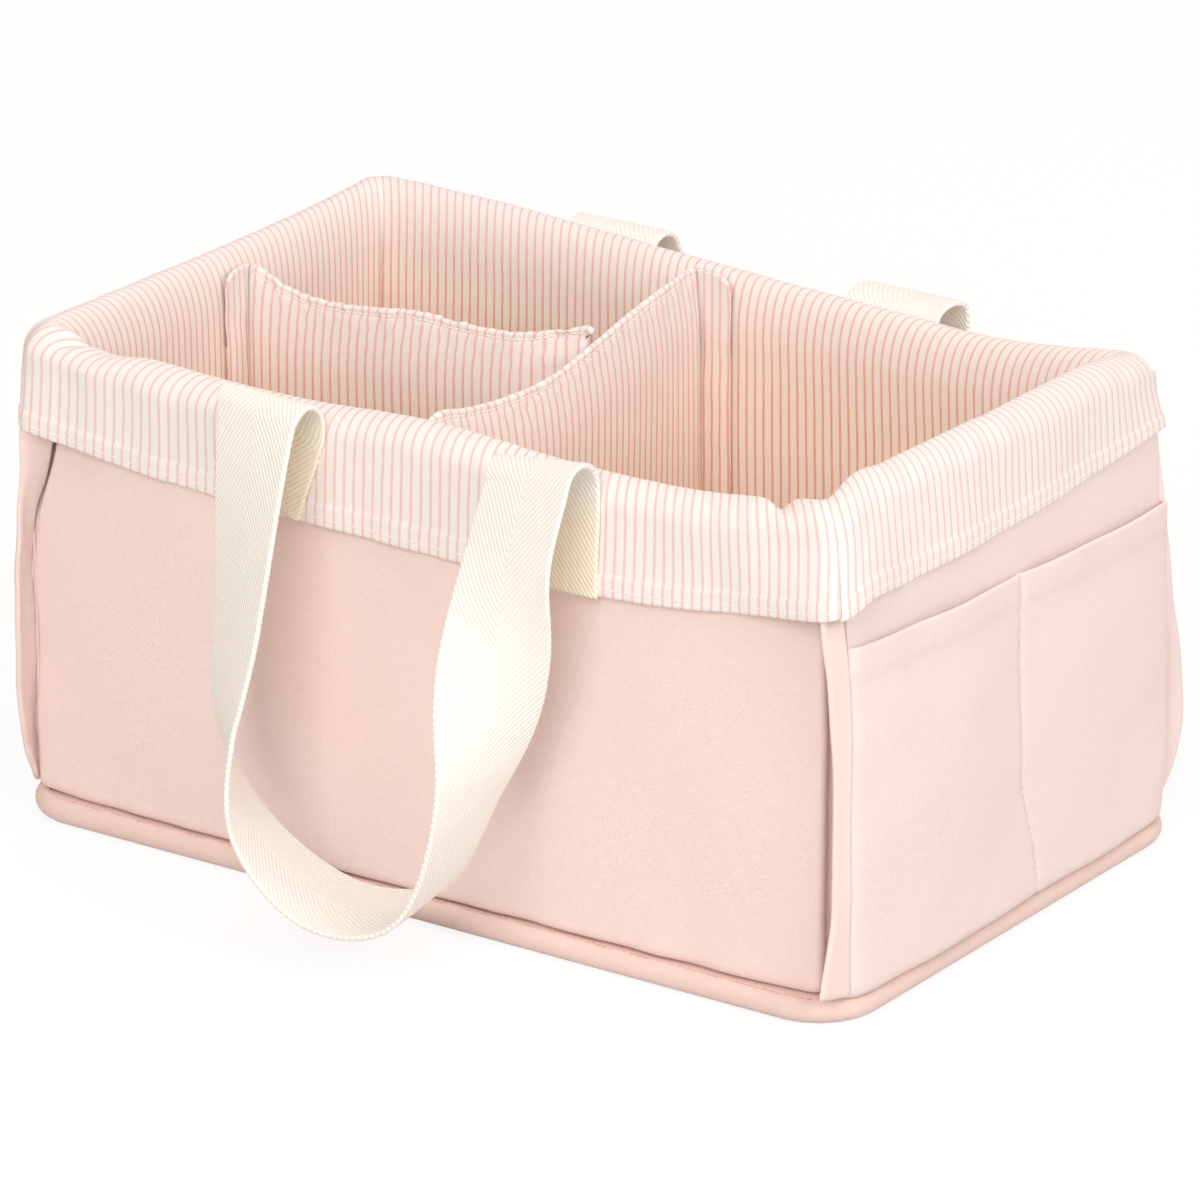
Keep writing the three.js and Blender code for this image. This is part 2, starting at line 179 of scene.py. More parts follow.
def square_to(v: Grid, axis: Grid) -> Grid:
    """Each unit vector v, turned square to the unit vector axis: v less its share along axis."""
    return unit(v - axis * (v * axis).sum(-1, keepdims=True))


def lengths(line: Grid) -> Grid:
    """The length of a line of points, from its start to each of them."""
    return np.concatenate([[0.0], np.cumsum(np.linalg.norm(np.diff(line, axis=0), axis=1))])


def sampled(at: Grid, steps: Grid, values: Grid) -> Grid:
    """The vectors given for the lengths steps, mixed for the lengths at."""
    return np.stack([np.interp(at, steps, values[:, k]) for k in range(3)], axis=1)


# ---------------------------------------------------------------- meshes


@dataclass
class Shape:
    """Points, four-sided faces and a cloth coordinate for each point, in millimetres."""

    points: Grid
    faces: Grid
    cloth: Grid

    def joined(self, *others: "Shape") -> "Shape":
        """This shape and others as one."""
        shapes = (self, *others)
        starts = np.cumsum([0] + [len(s.points) for s in shapes[:-1]])
        return Shape(
            np.concatenate([s.points for s in shapes]),
            np.concatenate([s.faces + start for s, start in zip(shapes, starts)]),
            np.concatenate([s.cloth for s in shapes]),
        )


def quads(rows: int, columns: int, closed: bool = False) -> Grid:
    """The four-sided faces of a grid whose points are numbered row by row.

    Args:
        rows: of the grid.
        columns: of the grid.
        closed: whether each row closes on itself.

    Returns:
        Four point numbers for each face.
    """
    here = np.arange(columns if closed else columns - 1)
    start = np.arange(rows - 1)[:, None] * columns
    i, after = start + here, start + (here + 1) % columns
    return np.stack([i, after, after + columns, i + columns], axis=-1).reshape(-1, 4)


def outwards(points: Grid, faces: Grid) -> Grid:
    """The faces of a closed solid, turned outwards.

    The signed volume inside them is the sum of the triangles' triple products over six.

    Args:
        points: the solid's points.
        faces: its faces, all one way round.

    Returns:
        The faces, the other way round where that volume is less than nothing.
    """
    p = points[faces]
    first = np.einsum("ij,ij->i", p[:, 0], np.cross(p[:, 1], p[:, 2]))
    second = np.einsum("ij,ij->i", p[:, 0], np.cross(p[:, 2], p[:, 3]))
    return faces[:, ::-1] if (first + second).sum() < 0 else faces


def between(face: Grid, back: Grid, cloth: Grid) -> Shape:
    """A closed solid between two grids of points of the same shape, with strips round their four sides.

    Args:
        face: rows by columns by 3.
        back: the same, behind it.
        cloth: rows by columns by 2, the cloth coordinate of both.

    Returns:
        The shape, with its faces outwards.
    """
    rows, columns = face.shape[:2]
    size = rows * columns
    i = np.arange(size).reshape(rows, columns)
    ring = np.concatenate([i[0, :-1], i[:-1, -1], i[-1, :0:-1], i[:0:-1, 0]])
    after = np.roll(ring, -1)
    sides = np.stack([ring, ring + size, after + size, after], axis=-1)
    faces = np.concatenate([quads(rows, columns), (quads(rows, columns) + size)[:, ::-1], sides])
    points = np.concatenate([face.reshape(-1, 3), back.reshape(-1, 3)])
    return Shape(points, outwards(points, faces), np.concatenate([cloth.reshape(-1, 2)] * 2))


def normals(surface: Grid, out: Grid | None = None) -> Grid:
    """Unit normals of a grid of points: the cross product of its two directions.

    Args:
        surface: rows by columns by 3.
        out: a direction that the normals take the side of, or None for the product as it is.

    Returns:
        The normals, of the same shape.
    """
    n = unit(np.cross(np.gradient(surface, axis=1), np.gradient(surface, axis=0)))
    return -n if out is not None and (n * out).sum() < 0 else n


def thick(middle: Grid, half: Grid | float, cloth: Grid) -> Shape:
    """A closed sheet of cloth: its middle surface moved out along its normal by half, to each side."""
    shift = normals(middle) * np.broadcast_to(half, middle.shape[:2])[..., None]
    return between(middle + shift, middle - shift, cloth)


def capsules(places: Grid, along: Grid, out: Grid, length: float, radius: float) -> Shape:
    """Small rounded stitches: one six-sided bead for each place, flattened against the cloth.

    Args:
        places: the stitches' middles.
        along: unit vectors down the stitches.
        out: unit vectors off the cloth.
        length: of a stitch.
        radius: of its thread.

    Returns:
        All the stitches as one shape.
    """
    sections, steps = 6, np.array([-1.0, -0.75, 0.0, 0.75, 1.0])
    swell = np.array([0.15, 0.75, 1.0, 0.75, 0.15])
    angle = np.arange(sections) / sections * math.tau
    side = np.cross(along, out)
    ring = (
        places[:, None, None]
        + along[:, None, None] * (steps * length / 2)[None, :, None, None]
        + side[:, None, None] * (swell[:, None] * np.cos(angle) * radius)[None, :, :, None]
        + out[:, None, None] * (swell[:, None] * np.sin(angle) * radius)[None, :, :, None]
    )
    caps = np.array([[0, 5, 4, 3], [0, 3, 2, 1], [24, 25, 26, 27], [24, 27, 28, 29]])
    one = outwards(ring[0].reshape(-1, 3), np.concatenate([quads(len(steps), sections, closed=True), caps]))
    faces = (one[None] + (np.arange(len(places)) * len(steps) * sections)[:, None, None]).reshape(-1, 4)
    points = ring.reshape(-1, 3)
    return Shape(points, faces, np.zeros((len(points), 2)))


def stitched(line: Grid, out: Grid, pitch: float, length: float, radius: float) -> Shape:
    """Stitches spaced evenly down a line.

    Args:
        line: the line's points.
        out: the cloth's outward direction at each.
        pitch: from stitch to stitch.
        length: of a stitch.
        radius: of its thread.

    Returns:
        All the stitches as one shape.
    """
    steps = lengths(line)
    at = np.arange(pitch / 2, steps[-1], pitch)
    along = unit(sampled(at + 0.3, steps, line) - sampled(at - 0.3, steps, line))
    face = square_to(unit(sampled(at, steps, out)), along)
    return capsules(sampled(at, steps, line), along, face, length, radius)


def piece(
    name: str,
    shape: Shape,
    material: bpy.types.Material,
    body: str | None = "caddy",
    nodes: tuple[str, ...] = (),
) -> bpy.types.Object:
    """Puts a shape into the scene as a smooth mesh with the cloth coordinate as its UV map.

    Args:
        name: the piece's name.
        shape: its shape, in millimetres.
        material: its finish.
        body: the body that it rides on, or None for none.
        nodes: the record's nodes that it stands for.

    Returns:
        The new object.
    """
    mesh = bpy.data.meshes.new(name)
    faces = shape.faces
    mesh.vertices.add(len(shape.points))
    mesh.vertices.foreach_set("co", (shape.points * MM).astype(np.float32).ravel())
    mesh.loops.add(faces.size)
    mesh.loops.foreach_set("vertex_index", faces.astype(np.int32).ravel())
    mesh.polygons.add(len(faces))
    mesh.polygons.foreach_set("loop_start", np.arange(0, faces.size, 4, dtype=np.int32))
    mesh.polygons.foreach_set("use_smooth", np.ones(len(faces), dtype=bool))
    cloth = (shape.cloth * MM)[faces.ravel()].astype(np.float32)
    mesh.uv_layers.new(name="cloth").data.foreach_set("uv", cloth.ravel())
    mesh.update(calc_edges=True)
    mesh.validate()
    mesh.materials.append(material)
    obj = bpy.data.objects.new(name, mesh)
    bpy.context.scene.collection.objects.link(obj)
    if body is not None:
        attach(obj, body)
    if nodes:
        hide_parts(*nodes)
    log.info("%s: %d faces", name, len(faces))
    return obj


# ---------------------------------------------------------------- finishes


class Socket:
    """A value inside a node tree, with the usual arithmetic."""

    def __init__(self, graph: "Graph", out: bpy.types.NodeSocket) -> None:
        """Keeps the node tree and the output that this value comes from."""
        self.graph, self.out = graph, out

    def math(self, operation: str, *others: "Socket | float") -> "Socket":
        """This value and others through one Math node."""
        return self.graph.node("ShaderNodeMath", {"operation": operation}, dict(enumerate((self, *others))))

    def __add__(self, other: "Socket | float") -> "Socket":
        """The sum."""
        return self.math("ADD", other)

    def __sub__(self, other: "Socket | float") -> "Socket":
        """The difference."""
        return self.math("SUBTRACT", other)

    def __rsub__(self, other: float) -> "Socket":
        """A number less this value."""
        return self * -1.0 + other

    def __mul__(self, other: "Socket | float") -> "Socket":
        """The product."""
        return self.math("MULTIPLY", other)

    __radd__, __rmul__ = __add__, __mul__

    def wave(self, length: float) -> "Socket":
        """The sine of this value, once round in that length."""
        return (self * (1 / length)).math("MULTIPLY", math.tau).math("SINE")

    def ramp(self, low: float, high: float) -> "Socket":
        """A smooth ramp.

        Args:
            low: where it is 0.
            high: where it is 1, which may be less than low.

        Returns:
            Its value.
        """
        ends = (low, high, 0.0, 1.0) if low < high else (high, low, 1.0, 0.0)
        values = {"Value": self, **dict(zip(("From Min", "From Max", "To Min", "To Max"), ends))}
        return self.graph.node("ShaderNodeMapRange", {"interpolation_type": "SMOOTHSTEP"}, values)

    def colours(self, low: "Socket | tuple[float, ...]", high: "Socket | tuple[float, ...]") -> "Socket":
        """The colour low at 0 and high at 1."""
        return self.graph.node("ShaderNodeMix", {"data_type": "RGBA"}, {0: self, 6: low, 7: high}, 2)


@dataclass(frozen=True)
class Graph:
    """A node tree, with the one method that makes any node in it."""

    tree: bpy.types.NodeTree

    def fill(self, node: bpy.types.Node, values: dict[int | str, object]) -> None:
        """Gives a node's inputs their values or links.

        Args:
            node: the node.
            values: by the inputs' names or numbers.
        """
        for key, value in values.items():
            if isinstance(value, Socket):
                self.tree.links.new(value.out, node.inputs[key])
            else:
                node.inputs[key].default_value = value

    def node(
        self, kind: str, settings: dict[str, object], values: dict[int | str, object], out: int | str = 0
    ) -> Socket:
        """Makes a node.

        Args:
            kind: its type.
            settings: its own settings, which are set first.
            values: the values or links of its inputs.
            out: which of its outputs is wanted.

        Returns:
            That output.
        """
        made = self.tree.nodes.new(kind)
        for key, value in settings.items():
            setattr(made, key, value)
        self.fill(made, values)
        return Socket(self, made.outputs[out])

    def noise(self, scale: float) -> Socket:
        """A soft unevenness of that many swells to the metre, in the object's own space."""
        place = self.node("ShaderNodeTexCoord", {}, {}, "Object")
        return self.node("ShaderNodeTexNoise", {}, {"Scale": scale, "Detail": 2.0, "Vector": place})

    def for_camera(self, other: Socket, seen: Socket, share: float) -> Socket:
        """Two shaders as one, the second by that share and for the camera's own rays alone."""
        ray = self.node("ShaderNodeLightPath", {}, {}, "Is Camera Ray")
        return self.node("ShaderNodeMixShader", {}, {0: ray * share, 1: other, 2: seen})


def linear(*srgb: int) -> tuple[float, ...]:
    """A colour of 0 to 255 as the linear numbers that a shader takes, with the 1 of full cover."""
    c = np.array(srgb, float) / 255
    return (*np.where(c <= 0.04045, c / 12.92, ((c + 0.055) / 1.055) ** 2.4).tolist(), 1.0)


class Weave(Enum):
    """How the threads of a cloth lie."""

    PLAIN = "plain"
    STRIPED = "striped"
    HERRINGBONE = "herringbone"
    BARE = "bare"


@dataclass(frozen=True)
class Finish:
    """A cloth, with its colours and its weave. Lengths are in millimetres."""

    name: str
    colour: tuple[int, int, int]
    weave: Weave = Weave.PLAIN
    second: tuple[int, int, int] = (255, 255, 255)  # of the stripes, or of the herringbone's shaded threads
    # painted shade: this colour and the second one after it stand in for the warm shade low inside the lining
    # and on a strap's shaded sewn ends
    low: tuple[int, int, int] = (255, 255, 255)  # the colour deep inside, or on a strap's sewn ends
    painted_shade_second: tuple[int, int, int] = (255, 255, 255)  # the second colour there
    relief: float = 0.10  # height of the weave
    roughness: float = 0.92
    sheen: float = 0.15
    thread: float = 0.62  # from thread to thread
    slub: float = 450.0  # thick places of the thread, to the metre
    pitch: float = 4.0  # of the stripes
    stripe: float = 1.0  # width of a stripe
    blur: float = 0.2  # of a stripe's edge, to each side
    drift: tuple[float, float] = (13.0, 3.2)  # of the stripes: swells to the metre, and how far
    # painted shade: the lining's painted shade fades out over this span, going up the cloth
    upper: tuple[float, float] = (120.0, 192.0)  # up the lining, from the low colours to the others
    twill: float = 2.4  # from line to line of the herringbone
    lean: float = 1.25  # how steeply those lines climb
    warp: float = 0.8  # from thread to thread across the webbing
    # painted shade: beyond this span a strap's sewn ends take the painted shade colours
    sewn: tuple[float, float] = (206.0, 220.0)  # along a strap from its middle, to the low colours

    def material(self) -> bpy.types.Material:
        """Builds the material, on the piece's own cloth coordinate."""
        made = bpy.data.materials.new(self.name)
        made.use_nodes = True
        graph, shader = Graph(made.node_tree), made.node_tree.nodes["Principled BSDF"]
        values = {
            "Roughness": self.roughness,
            "Sheen Weight": self.sheen,
            "Sheen Roughness": 0.6,
            "Specular IOR Level": 0.2,
            "Base Color": linear(*self.colour),
        }
        if self.weave is not Weave.BARE:
            height, values["Base Color"] = self._woven(graph)
            bump = {"Strength": 1.0, "Distance": self.relief * MM, "Height": height}
            values["Normal"] = graph.node("ShaderNodeBump", {}, bump)
        graph.fill(shader, values)
        return made

    def _woven(self, graph: Graph) -> tuple[Socket, Socket]:
        """The height and the colour of the weave.

        Args:
            graph: the material's node tree.

        Returns:
            Both, as sockets.
        """
        place = graph.node("ShaderNodeUVMap", {"uv_map": "cloth"}, {})
        across, along = (graph.node("ShaderNodeSeparateXYZ", {}, {0: place}, k) * (1 / MM) for k in (0, 1))
        slubs = graph.noise(self.slub)
        if self.weave is Weave.HERRINGBONE:
            return self._herringbone(across, along, slubs)
        height = along.wave(self.thread) * across.wave(self.thread) * 0.5 + slubs * 0.6
        if self.weave is Weave.STRIPED:
            scale, reach = self.drift
            drift = (graph.noise(scale) - 0.5) * reach + (slubs - 0.5) * 0.22
            beside = (across + drift + self.pitch / 2).math("PINGPONG", self.pitch / 2)
            stripe = beside.ramp(self.stripe / 2 + self.blur, self.stripe / 2 - self.blur)
            stripe = stripe * (slubs * 0.35 + 0.78)
            # painted shade: lower down the cloth, the ground and the stripes turn to the warmer, darker low
            # colours, for the shade deep inside the caddy
            high = along.ramp(*self.upper)
            ground = high.colours(linear(*self.low), linear(*self.colour))
            line = high.colours(linear(*self.painted_shade_second), linear(*self.second))
            return height, stripe.colours(ground, line)
        plain = linear(*self.colour)
        tint = (*(0.965 * c for c in plain[:3]), 1.0)
        return height, (slubs + graph.noise(22.0) * 0.6).ramp(0.5, 1.1).colours(tint, plain)

    def _herringbone(self, across: Socket, along: Socket, slubs: Socket) -> tuple[Socket, Socket]:
        """Chevrons: lines that climb towards the middle from both edges, crossed by fine warp threads, with
        painted shade on the sewn ends.

        Args:
            across: millimetres from the webbing's middle.
            along: millimetres from the middle of its length.
            slubs: the thread's unevenness.

        Returns:
            Their height and their colour.
        """
        lines = (along - across.math("ABSOLUTE") * self.lean).wave(self.twill)
        height = lines * 0.5 + across.wave(self.warp) * 0.1 + 0.5
        shade = (height + (slubs - 0.5) * 0.3).ramp(0.05, 0.75)
        # painted shade: towards the sewn ends the threads turn to the warmer low colours, for the shade in
        # and under the folds
        inner = along.math("ABSOLUTE").ramp(*self.sewn)
        pale = inner.colours(linear(*self.colour), linear(*self.low))
        dark = inner.colours(linear(*self.second), linear(*self.painted_shade_second))
        return height, shade.colours(dark, pale)


@dataclass(frozen=True)
class Finishes:
    """Every finish of the caddy."""

    blush: Finish = Finish("blush_cotton", (251, 229, 223))
    # painted light: the end walls' cotton is the blush cotton with a paler colour, which stands in for the
    # brighter light on the right end wall
    pale: Finish = Finish("pale_cotton", (249, 232, 230))
    welt: Finish = Finish("welt_cotton", (245, 219, 211))
    # its last two colours are painted shade, for the warm shade deep inside the caddy
    striped: Finish = Finish(
        "striped_cotton", (249, 243, 242), Weave.STRIPED, (243, 208, 202), (252, 238, 226), (239, 173, 146)
    )
    # its last two colours are painted shade, on the sewn ends
    webbing: Finish = Finish(
        "natural_webbing",
        (254, 252, 249),
        Weave.HERRINGBONE,
        (247, 242, 233),
        (255, 249, 231),
        (252, 238, 210),
        relief=0.22,
    )
    tape: Finish = Finish("loop_tape", (244, 210, 190), Weave.BARE)
    pink_thread: Finish = Finish("pink_thread", (236, 190, 176), Weave.BARE)
    pale_thread: Finish = Finish("pale_thread", (244, 220, 211), Weave.BARE)
    cream_thread: Finish = Finish("cream_thread", (251, 238, 228), Weave.BARE)

    def made(self) -> Looks:
        """All the materials, by the names of these fields."""
        return {key: getattr(self, key).material() for key in self.__dataclass_fields__}


# ---------------------------------------------------------------- the caddy's frame


BASE_TOP = 8.5  # height of the base
FOOT = 8.8  # height of the seam that holds the walls to it
ROLL = 7.75  # half the depth of the rim's roll
LINING = 14.0  # depth of the lining, in from a wall's plain face


@dataclass(frozen=True)
class Lean:
    """How far the soft rim has moved from upright at each corner: along the length, and across it."""

    corners: tuple[tuple[float, ...], ...] = (
        (-1, -1, 1.0, -5.5),  # front left
        (1, -1, -1.5, 3.0),  # front right
        (1, 1, -1.5, -8.0),  # back right
        (-1, 1, 1.5, 1.5),  # back left
    )
    half_length: float = 176.0
    half_width: float = 105.5
    rim: float = 187.0
    drawn_in: float = -6.5  # of the rim at the front right corner alone, along the length

    def moved(self, p: Grid) -> Grid:
        """Moves points by the corners' amounts, mixed across the plan, times the height's share squared.

        The front right corner is drawn in besides, by that share's sixth power.

        Args:
            p: the points.

        Returns:
            The points with the lean.
        """
        s = np.clip(p[..., 0] / self.half_length, -1.1, 1.1)
        t = np.clip(p[..., 1] / self.half_width, -1.1, 1.1)
        weights = [((1 + sx * s) * (1 + sy * t) / 4)[..., None] for sx, sy, *_ in self.corners]
        shift = sum(weight * np.array(corner[2:]) for weight, corner in zip(weights, self.corners))
        up = np.clip(p[..., 2] / self.rim, 0, 1.05)
        out = p.copy()
        out[..., :2] += shift * (up**2)[..., None]
        near = smoothstep(p[..., 0], 80.0, self.half_length) * np.clip(-p[..., 1] / self.half_width, 0, 1)
        out[..., 0] += self.drawn_in * near * up**6
        return out


@dataclass(frozen=True)
class Wall:
    """One wall: its direction in quarter turns, half length, distance out, rim heights and fullness."""

    name: str
    turn: int
    half_along: float
    half_out: float
    rim: tuple[float, ...]
    puff: float
    seed: int
    arch: tuple[float, float] = (0.28, 0.65)  # where the padding starts on a half sine, and how much follows

    @property
    def along(self) -> Grid:
        """The unit vector to the right as seen from outside."""
        return HEADINGS[self.turn]

    @property
    def out(self) -> Grid:
        """The unit vector out of the wall."""
        return HEADINGS[self.turn - 1]

    @property
    def end(self) -> bool:
        """Whether it is one of the two short walls."""
        return self.turn % 2 == 1

    def side(self, sign: int) -> str:
        """The caddy's side that lies along the wall in that direction."""
        return "right" if sign * self.along[0] > 0 else "left"

    def crest(self, share: Grid | float) -> Grid:
        """The rim's height at a share of the way along, from -1 to 1."""
        return spline(self.rim, (np.asarray(share, float) + 1) / 2)

    def pushed(self, share: Grid, z: Grid) -> Grid:
        """How far the padding stands out: a sine over the height, times 1 less the share's fourth power."""
        up = np.clip((z - BASE_TOP) / (self.crest(share) - BASE_TOP), 0, 1)
        return self.puff * (1 - np.abs(share) ** 4) * np.sin(math.pi * (self.arch[0] + self.arch[1] * up))

    def at(self, along: Grid, out: Grid, z: Grid) -> Grid:
        """Points that far along the wall, out from the caddy's middle and up."""
        return self.along * along[..., None] + self.out * out[..., None] + UP * z[..., None]

    def place(
        self, share: Grid, depth: Grid | float, z: Grid, radius: Grid | float, push: Grid | float = 0.0
    ) -> Grid:
        """Points on the wall, whose corners are rounded in plan and meet the next wall on the mitre.

        Args:
            share: of the way along, from -1 to 1.
            depth: in from the wall's plain face.
            z: height.
            radius: of the corner in plan, at this depth.
            push: out from there, which fades at the corners by itself.

        Returns:
            The points, before the lean.
        """
        share, depth, z, radius, push = np.broadcast_arrays(share, depth, z, radius, push)
        reach = self.half_along - depth
        distance = np.abs(share) * reach
        turn = np.clip((distance - reach + radius) / radius, 0, 1) * math.pi / 4
        run = np.sign(share) * (np.minimum(distance, reach - radius) + radius * np.sin(turn))
        return self.at(run, self.half_out - depth - radius * (1 - np.cos(turn)) + push * np.cos(turn), z)


FRONT = Wall("front", 0, 174.5, 104.0, (187, 181, 179.5, 182, 178.5, 178.5, 185), 4.5, 11)
RIGHT_RIM = (185, 190, 189.6, 190, 190.2, 190.5, 190.5, 190.5, 190.5, 190.4, 190, 188.5, 186)
RIGHT = Wall("right", 1, 104.0, 174.5, RIGHT_RIM, 2.5, 12)
BACK = Wall("back", 2, 174.5, 104.0, (186, 179, 180, 182, 184.5, 187, 187.5), 4.5, 13)
LEFT = Wall("left", 3, 104.0, 174.5, (187.5, 185.5, 185, 185, 185.5, 186, 187), 2.5, 14)
WALLS = (FRONT, RIGHT, BACK, LEFT)
LEAN = Lean()


def foot_roll(above: Grid, from_side: Grid) -> Grid:
    """How far the padding rolls out above the foot's seam: it fades upwards and towards the wall's sides."""
    return fading(above, 2.6, 26.0) * rounded(from_side, 16)


def back_lap(z: Grid, y: Grid, start: float, end: float) -> Grid:
    """The share, over the height and along the right wall, in which its cloth laps over the back corner."""
    return smoothstep(z, 9.0, 34.0) * smoothstep(y, start, end)


def parting(z: Grid) -> Grid:
    """How far right of the corner the line between the front wall and its left fin lies at each height."""
    return spline((-0.4, -1.8, -1.0, -0.2, -1.0, 2.8, 9.6, 15.0), np.clip((z - FOOT) / 151.2, 0, 1))


def inward(z: Grid) -> Grid:
    """How far the lining swells into the caddy at each height: half a sine up the wall."""
    return 1.6 * np.sin(math.pi * np.clip(z / 185, 0, 1))


# ---------------------------------------------------------------- base


@dataclass
class Base:
    """The padded base with its rolled edge and the row of stitches that holds the walls to it."""

    half_length: float = 180.0
    half_width: float = 115.0
    corner: float = 25.0
    seam_inset: float = 4.2
    seam_depth: float = 0.25
    round_length: float = 1100.0
    columns: int = 720
    puckers: tuple[Creases, Creases] = (Creases(17.0, 0.35, 5), Creases(46.0, 0.3, 6))

    def outline(self, inset: Grid, share: Grid) -> tuple[Grid, Grid]:
        """A rounded rectangle: a centre moves on the straight runs, and a radius turns on the corners.

        Args:
            inset: in from the base's edge.
            share: of the way round, from the middle of the front.

        Returns:
            Points in plan and their outward directions.
        """
        a, b, r = self.half_length - inset, self.half_width - inset, np.maximum(self.corner - inset, 2.0)
        arc = math.pi * r / 2
        parts = [a - r, arc, 2 * (b - r), arc, 2 * (a - r), arc, 2 * (b - r), arc, a - r]
        start, passed = np.zeros_like(share), []
        for part in parts:
            passed.append(np.clip(share * sum(parts) - start, 0, part))
            start = start + part
        turn = sum(passed[1::2]) / r
        normal = np.stack([np.sin(turn), -np.cos(turn)], -1)
        centre = np.stack([passed[0] - passed[4] + passed[8], passed[2] - passed[6] - (b - r)], -1)
        return centre + normal * r[..., None], normal

    def shape(self) -> Shape:
        """The pad: rings from the underside's middle, round the roll, over the top, pinched at the seam."""
        turn = np.linspace(0, math.pi, 15)
        roll = BASE_TOP / 2
        far = [80.0, 30.0]
        inset = np.concatenate([far, roll * (1 - np.sin(turn)), [roll + 3.0, roll + 6.0], far[::-1]])
        z = np.concatenate([[0.0, 0.0], roll - roll * np.cos(turn), [BASE_TOP - 0.5, *[BASE_TOP] * 3]])
        z = z[:, None]
        share = np.linspace(0, 1, self.columns + 1)[:-1]
        inset, share = np.meshgrid(inset, share, indexing="ij")
        plan, normal = self.outline(inset, share)
        along, up = share * self.round_length, z / BASE_TOP
        pucker = sum(p.at(along, 0 * along) for p in self.puckers)
        plan = plan + normal * (pucker * up * np.clip(1 - inset / 12, 0, 1))[..., None]
        seam = (ripple(along, 0 * along, 9.0, 7) + 0.5) * up * bump_at(inset, self.seam_inset, 2.0)
        points = np.concatenate([plan, (z - self.seam_depth * seam)[..., None]], -1)
        rows = len(z)
        faces = [quads(rows, self.columns, closed=True)]
        for first, way in ((0, -1), ((rows - 1) * self.columns, 1)):
            near, far = np.split(first + np.arange(self.columns), 2)
            far = far[::-1]
            faces.append(np.stack([near[:-1], near[1:], far[1:], far[:-1]], -1)[:, ::way])
        flat = points.reshape(-1, 3)
        cloth = np.stack([along, inset + z * 1.5], -1).reshape(-1, 2)
        return Shape(flat, outwards(flat, np.concatenate(faces)), cloth)

    def stitches(self) -> Shape:
        """The stitches along the seam, on the roll's shoulder."""
        share = np.linspace(0, 1, 1200)
        plan, normal = self.outline(np.full_like(share, self.seam_inset + 0.4), share)
        line = np.concatenate([plan, np.full((len(share), 1), BASE_TOP + 0.05)], -1)
        out = np.concatenate([normal * 0.25, np.ones((len(share), 1))], -1)
        return stitched(line, unit(out), 2.9, 2.1, 0.42)

    def build(self, looks: Looks) -> None:
        """Makes the base and its stitches.

        Args:
            looks: the materials, by name.
        """
        pad = piece("base", self.shape(), looks["welt"], nodes=("base_pad", "base_board"))
        piece("base_seam_stitches", self.stitches(), looks["pink_thread"])


# ---------------------------------------------------------------- walls and lining


@dataclass
class PaddedWalls:
    """The four padded outer walls."""

    inner: float = 12.6  # depth of their flat inner face
    columns: int = 200
    rows: int = 90
    foot_seam: tuple[float, float] = (2.2, 4.0)  # each seam's dip, and how far it reaches
    side_seam: tuple[float, float] = (5.0, 4.5)
    fin_seam: tuple[float, float] = (7.5, 6.0)
    fin_edge: float = 3.2  # from the right end of the front wall to its fin
    play: float = 1.8  # between a long wall's end and the short wall's cloth
    lap: float = 2.5  # of the right wall's cloth over the back corner
    broad: Creases = Creases(70.0, 0.5, 0)
    at_foot: Creases = Creases(19.0, 0.5, 30)
    at_side: Creases = Creases(24.0, 0.5, 40)

    def shape(self, wall: Wall) -> Shape:
        """A padded wall: a crowned face that turns in at its seams, over a flat inner face.

        Args:
            wall: the wall.

        Returns:
            The shape.
        """
        share, up = np.meshgrid(2 * edge_dense(self.columns) - 1, edge_dense(self.rows))
        above = (wall.crest(share) - ROLL - FOOT) * up
        z, run = FOOT + above, share * wall.half_along
        from_side = (1 - np.abs(share)) * wall.half_along
        at_fin, at_corner = dip(from_side - self.fin_edge, *self.fin_seam), dip(from_side, *self.side_seam)
        groove = np.where((wall is FRONT) & (share > 0), at_fin, at_corner)
        pinch = (0.4 if wall.end else 1.0) * (groove + dip(above, *self.foot_seam))
        swell = wall.pushed(share, z) + self.broad.at(run, z, wall.seed) * rounded(from_side, 30)
        swell = swell + foot_roll(above, from_side)
        swell = swell + fading(above, 1.0, 9.0) * self.at_foot.at(run, z * 0.15, wall.seed)
        side = fading(np.maximum(from_side - 2, 0), 1.0, 12.0)
        swell = swell + side * self.at_side.at(share * 3, z, wall.seed)
        play = 0.0 if wall.end else self.play
        face = wall.place(share * (1 - play / wall.half_along), pinch, z, 2.0, swell)
        if wall is FRONT:
            face[..., 0] += (parting(z) - play) * smoothstep(face[..., 0], -135.0, -170.0)
        if wall is RIGHT:
            face[..., 1] += self.lap * back_lap(z, face[..., 1], 80.0, 104.0)
        back = wall.place(share, self.inner, z, 1.0)
        return between(LEAN.moved(face), LEAN.moved(back), np.stack([run, z], -1))

    def build(self, looks: Looks) -> None:
        """Makes the four walls.

        Args:
            looks: the materials, by name.
        """
        for wall in WALLS:
            # painted light: the end walls take the paler copy of the cotton
            look = "pale" if wall.end else "blush"
            nodes = (f"{wall.name}_outer_panel", f"{wall.name}_wall_foam")
            made = piece(f"{wall.name}_wall", self.shape(wall), looks[look], nodes=nodes)


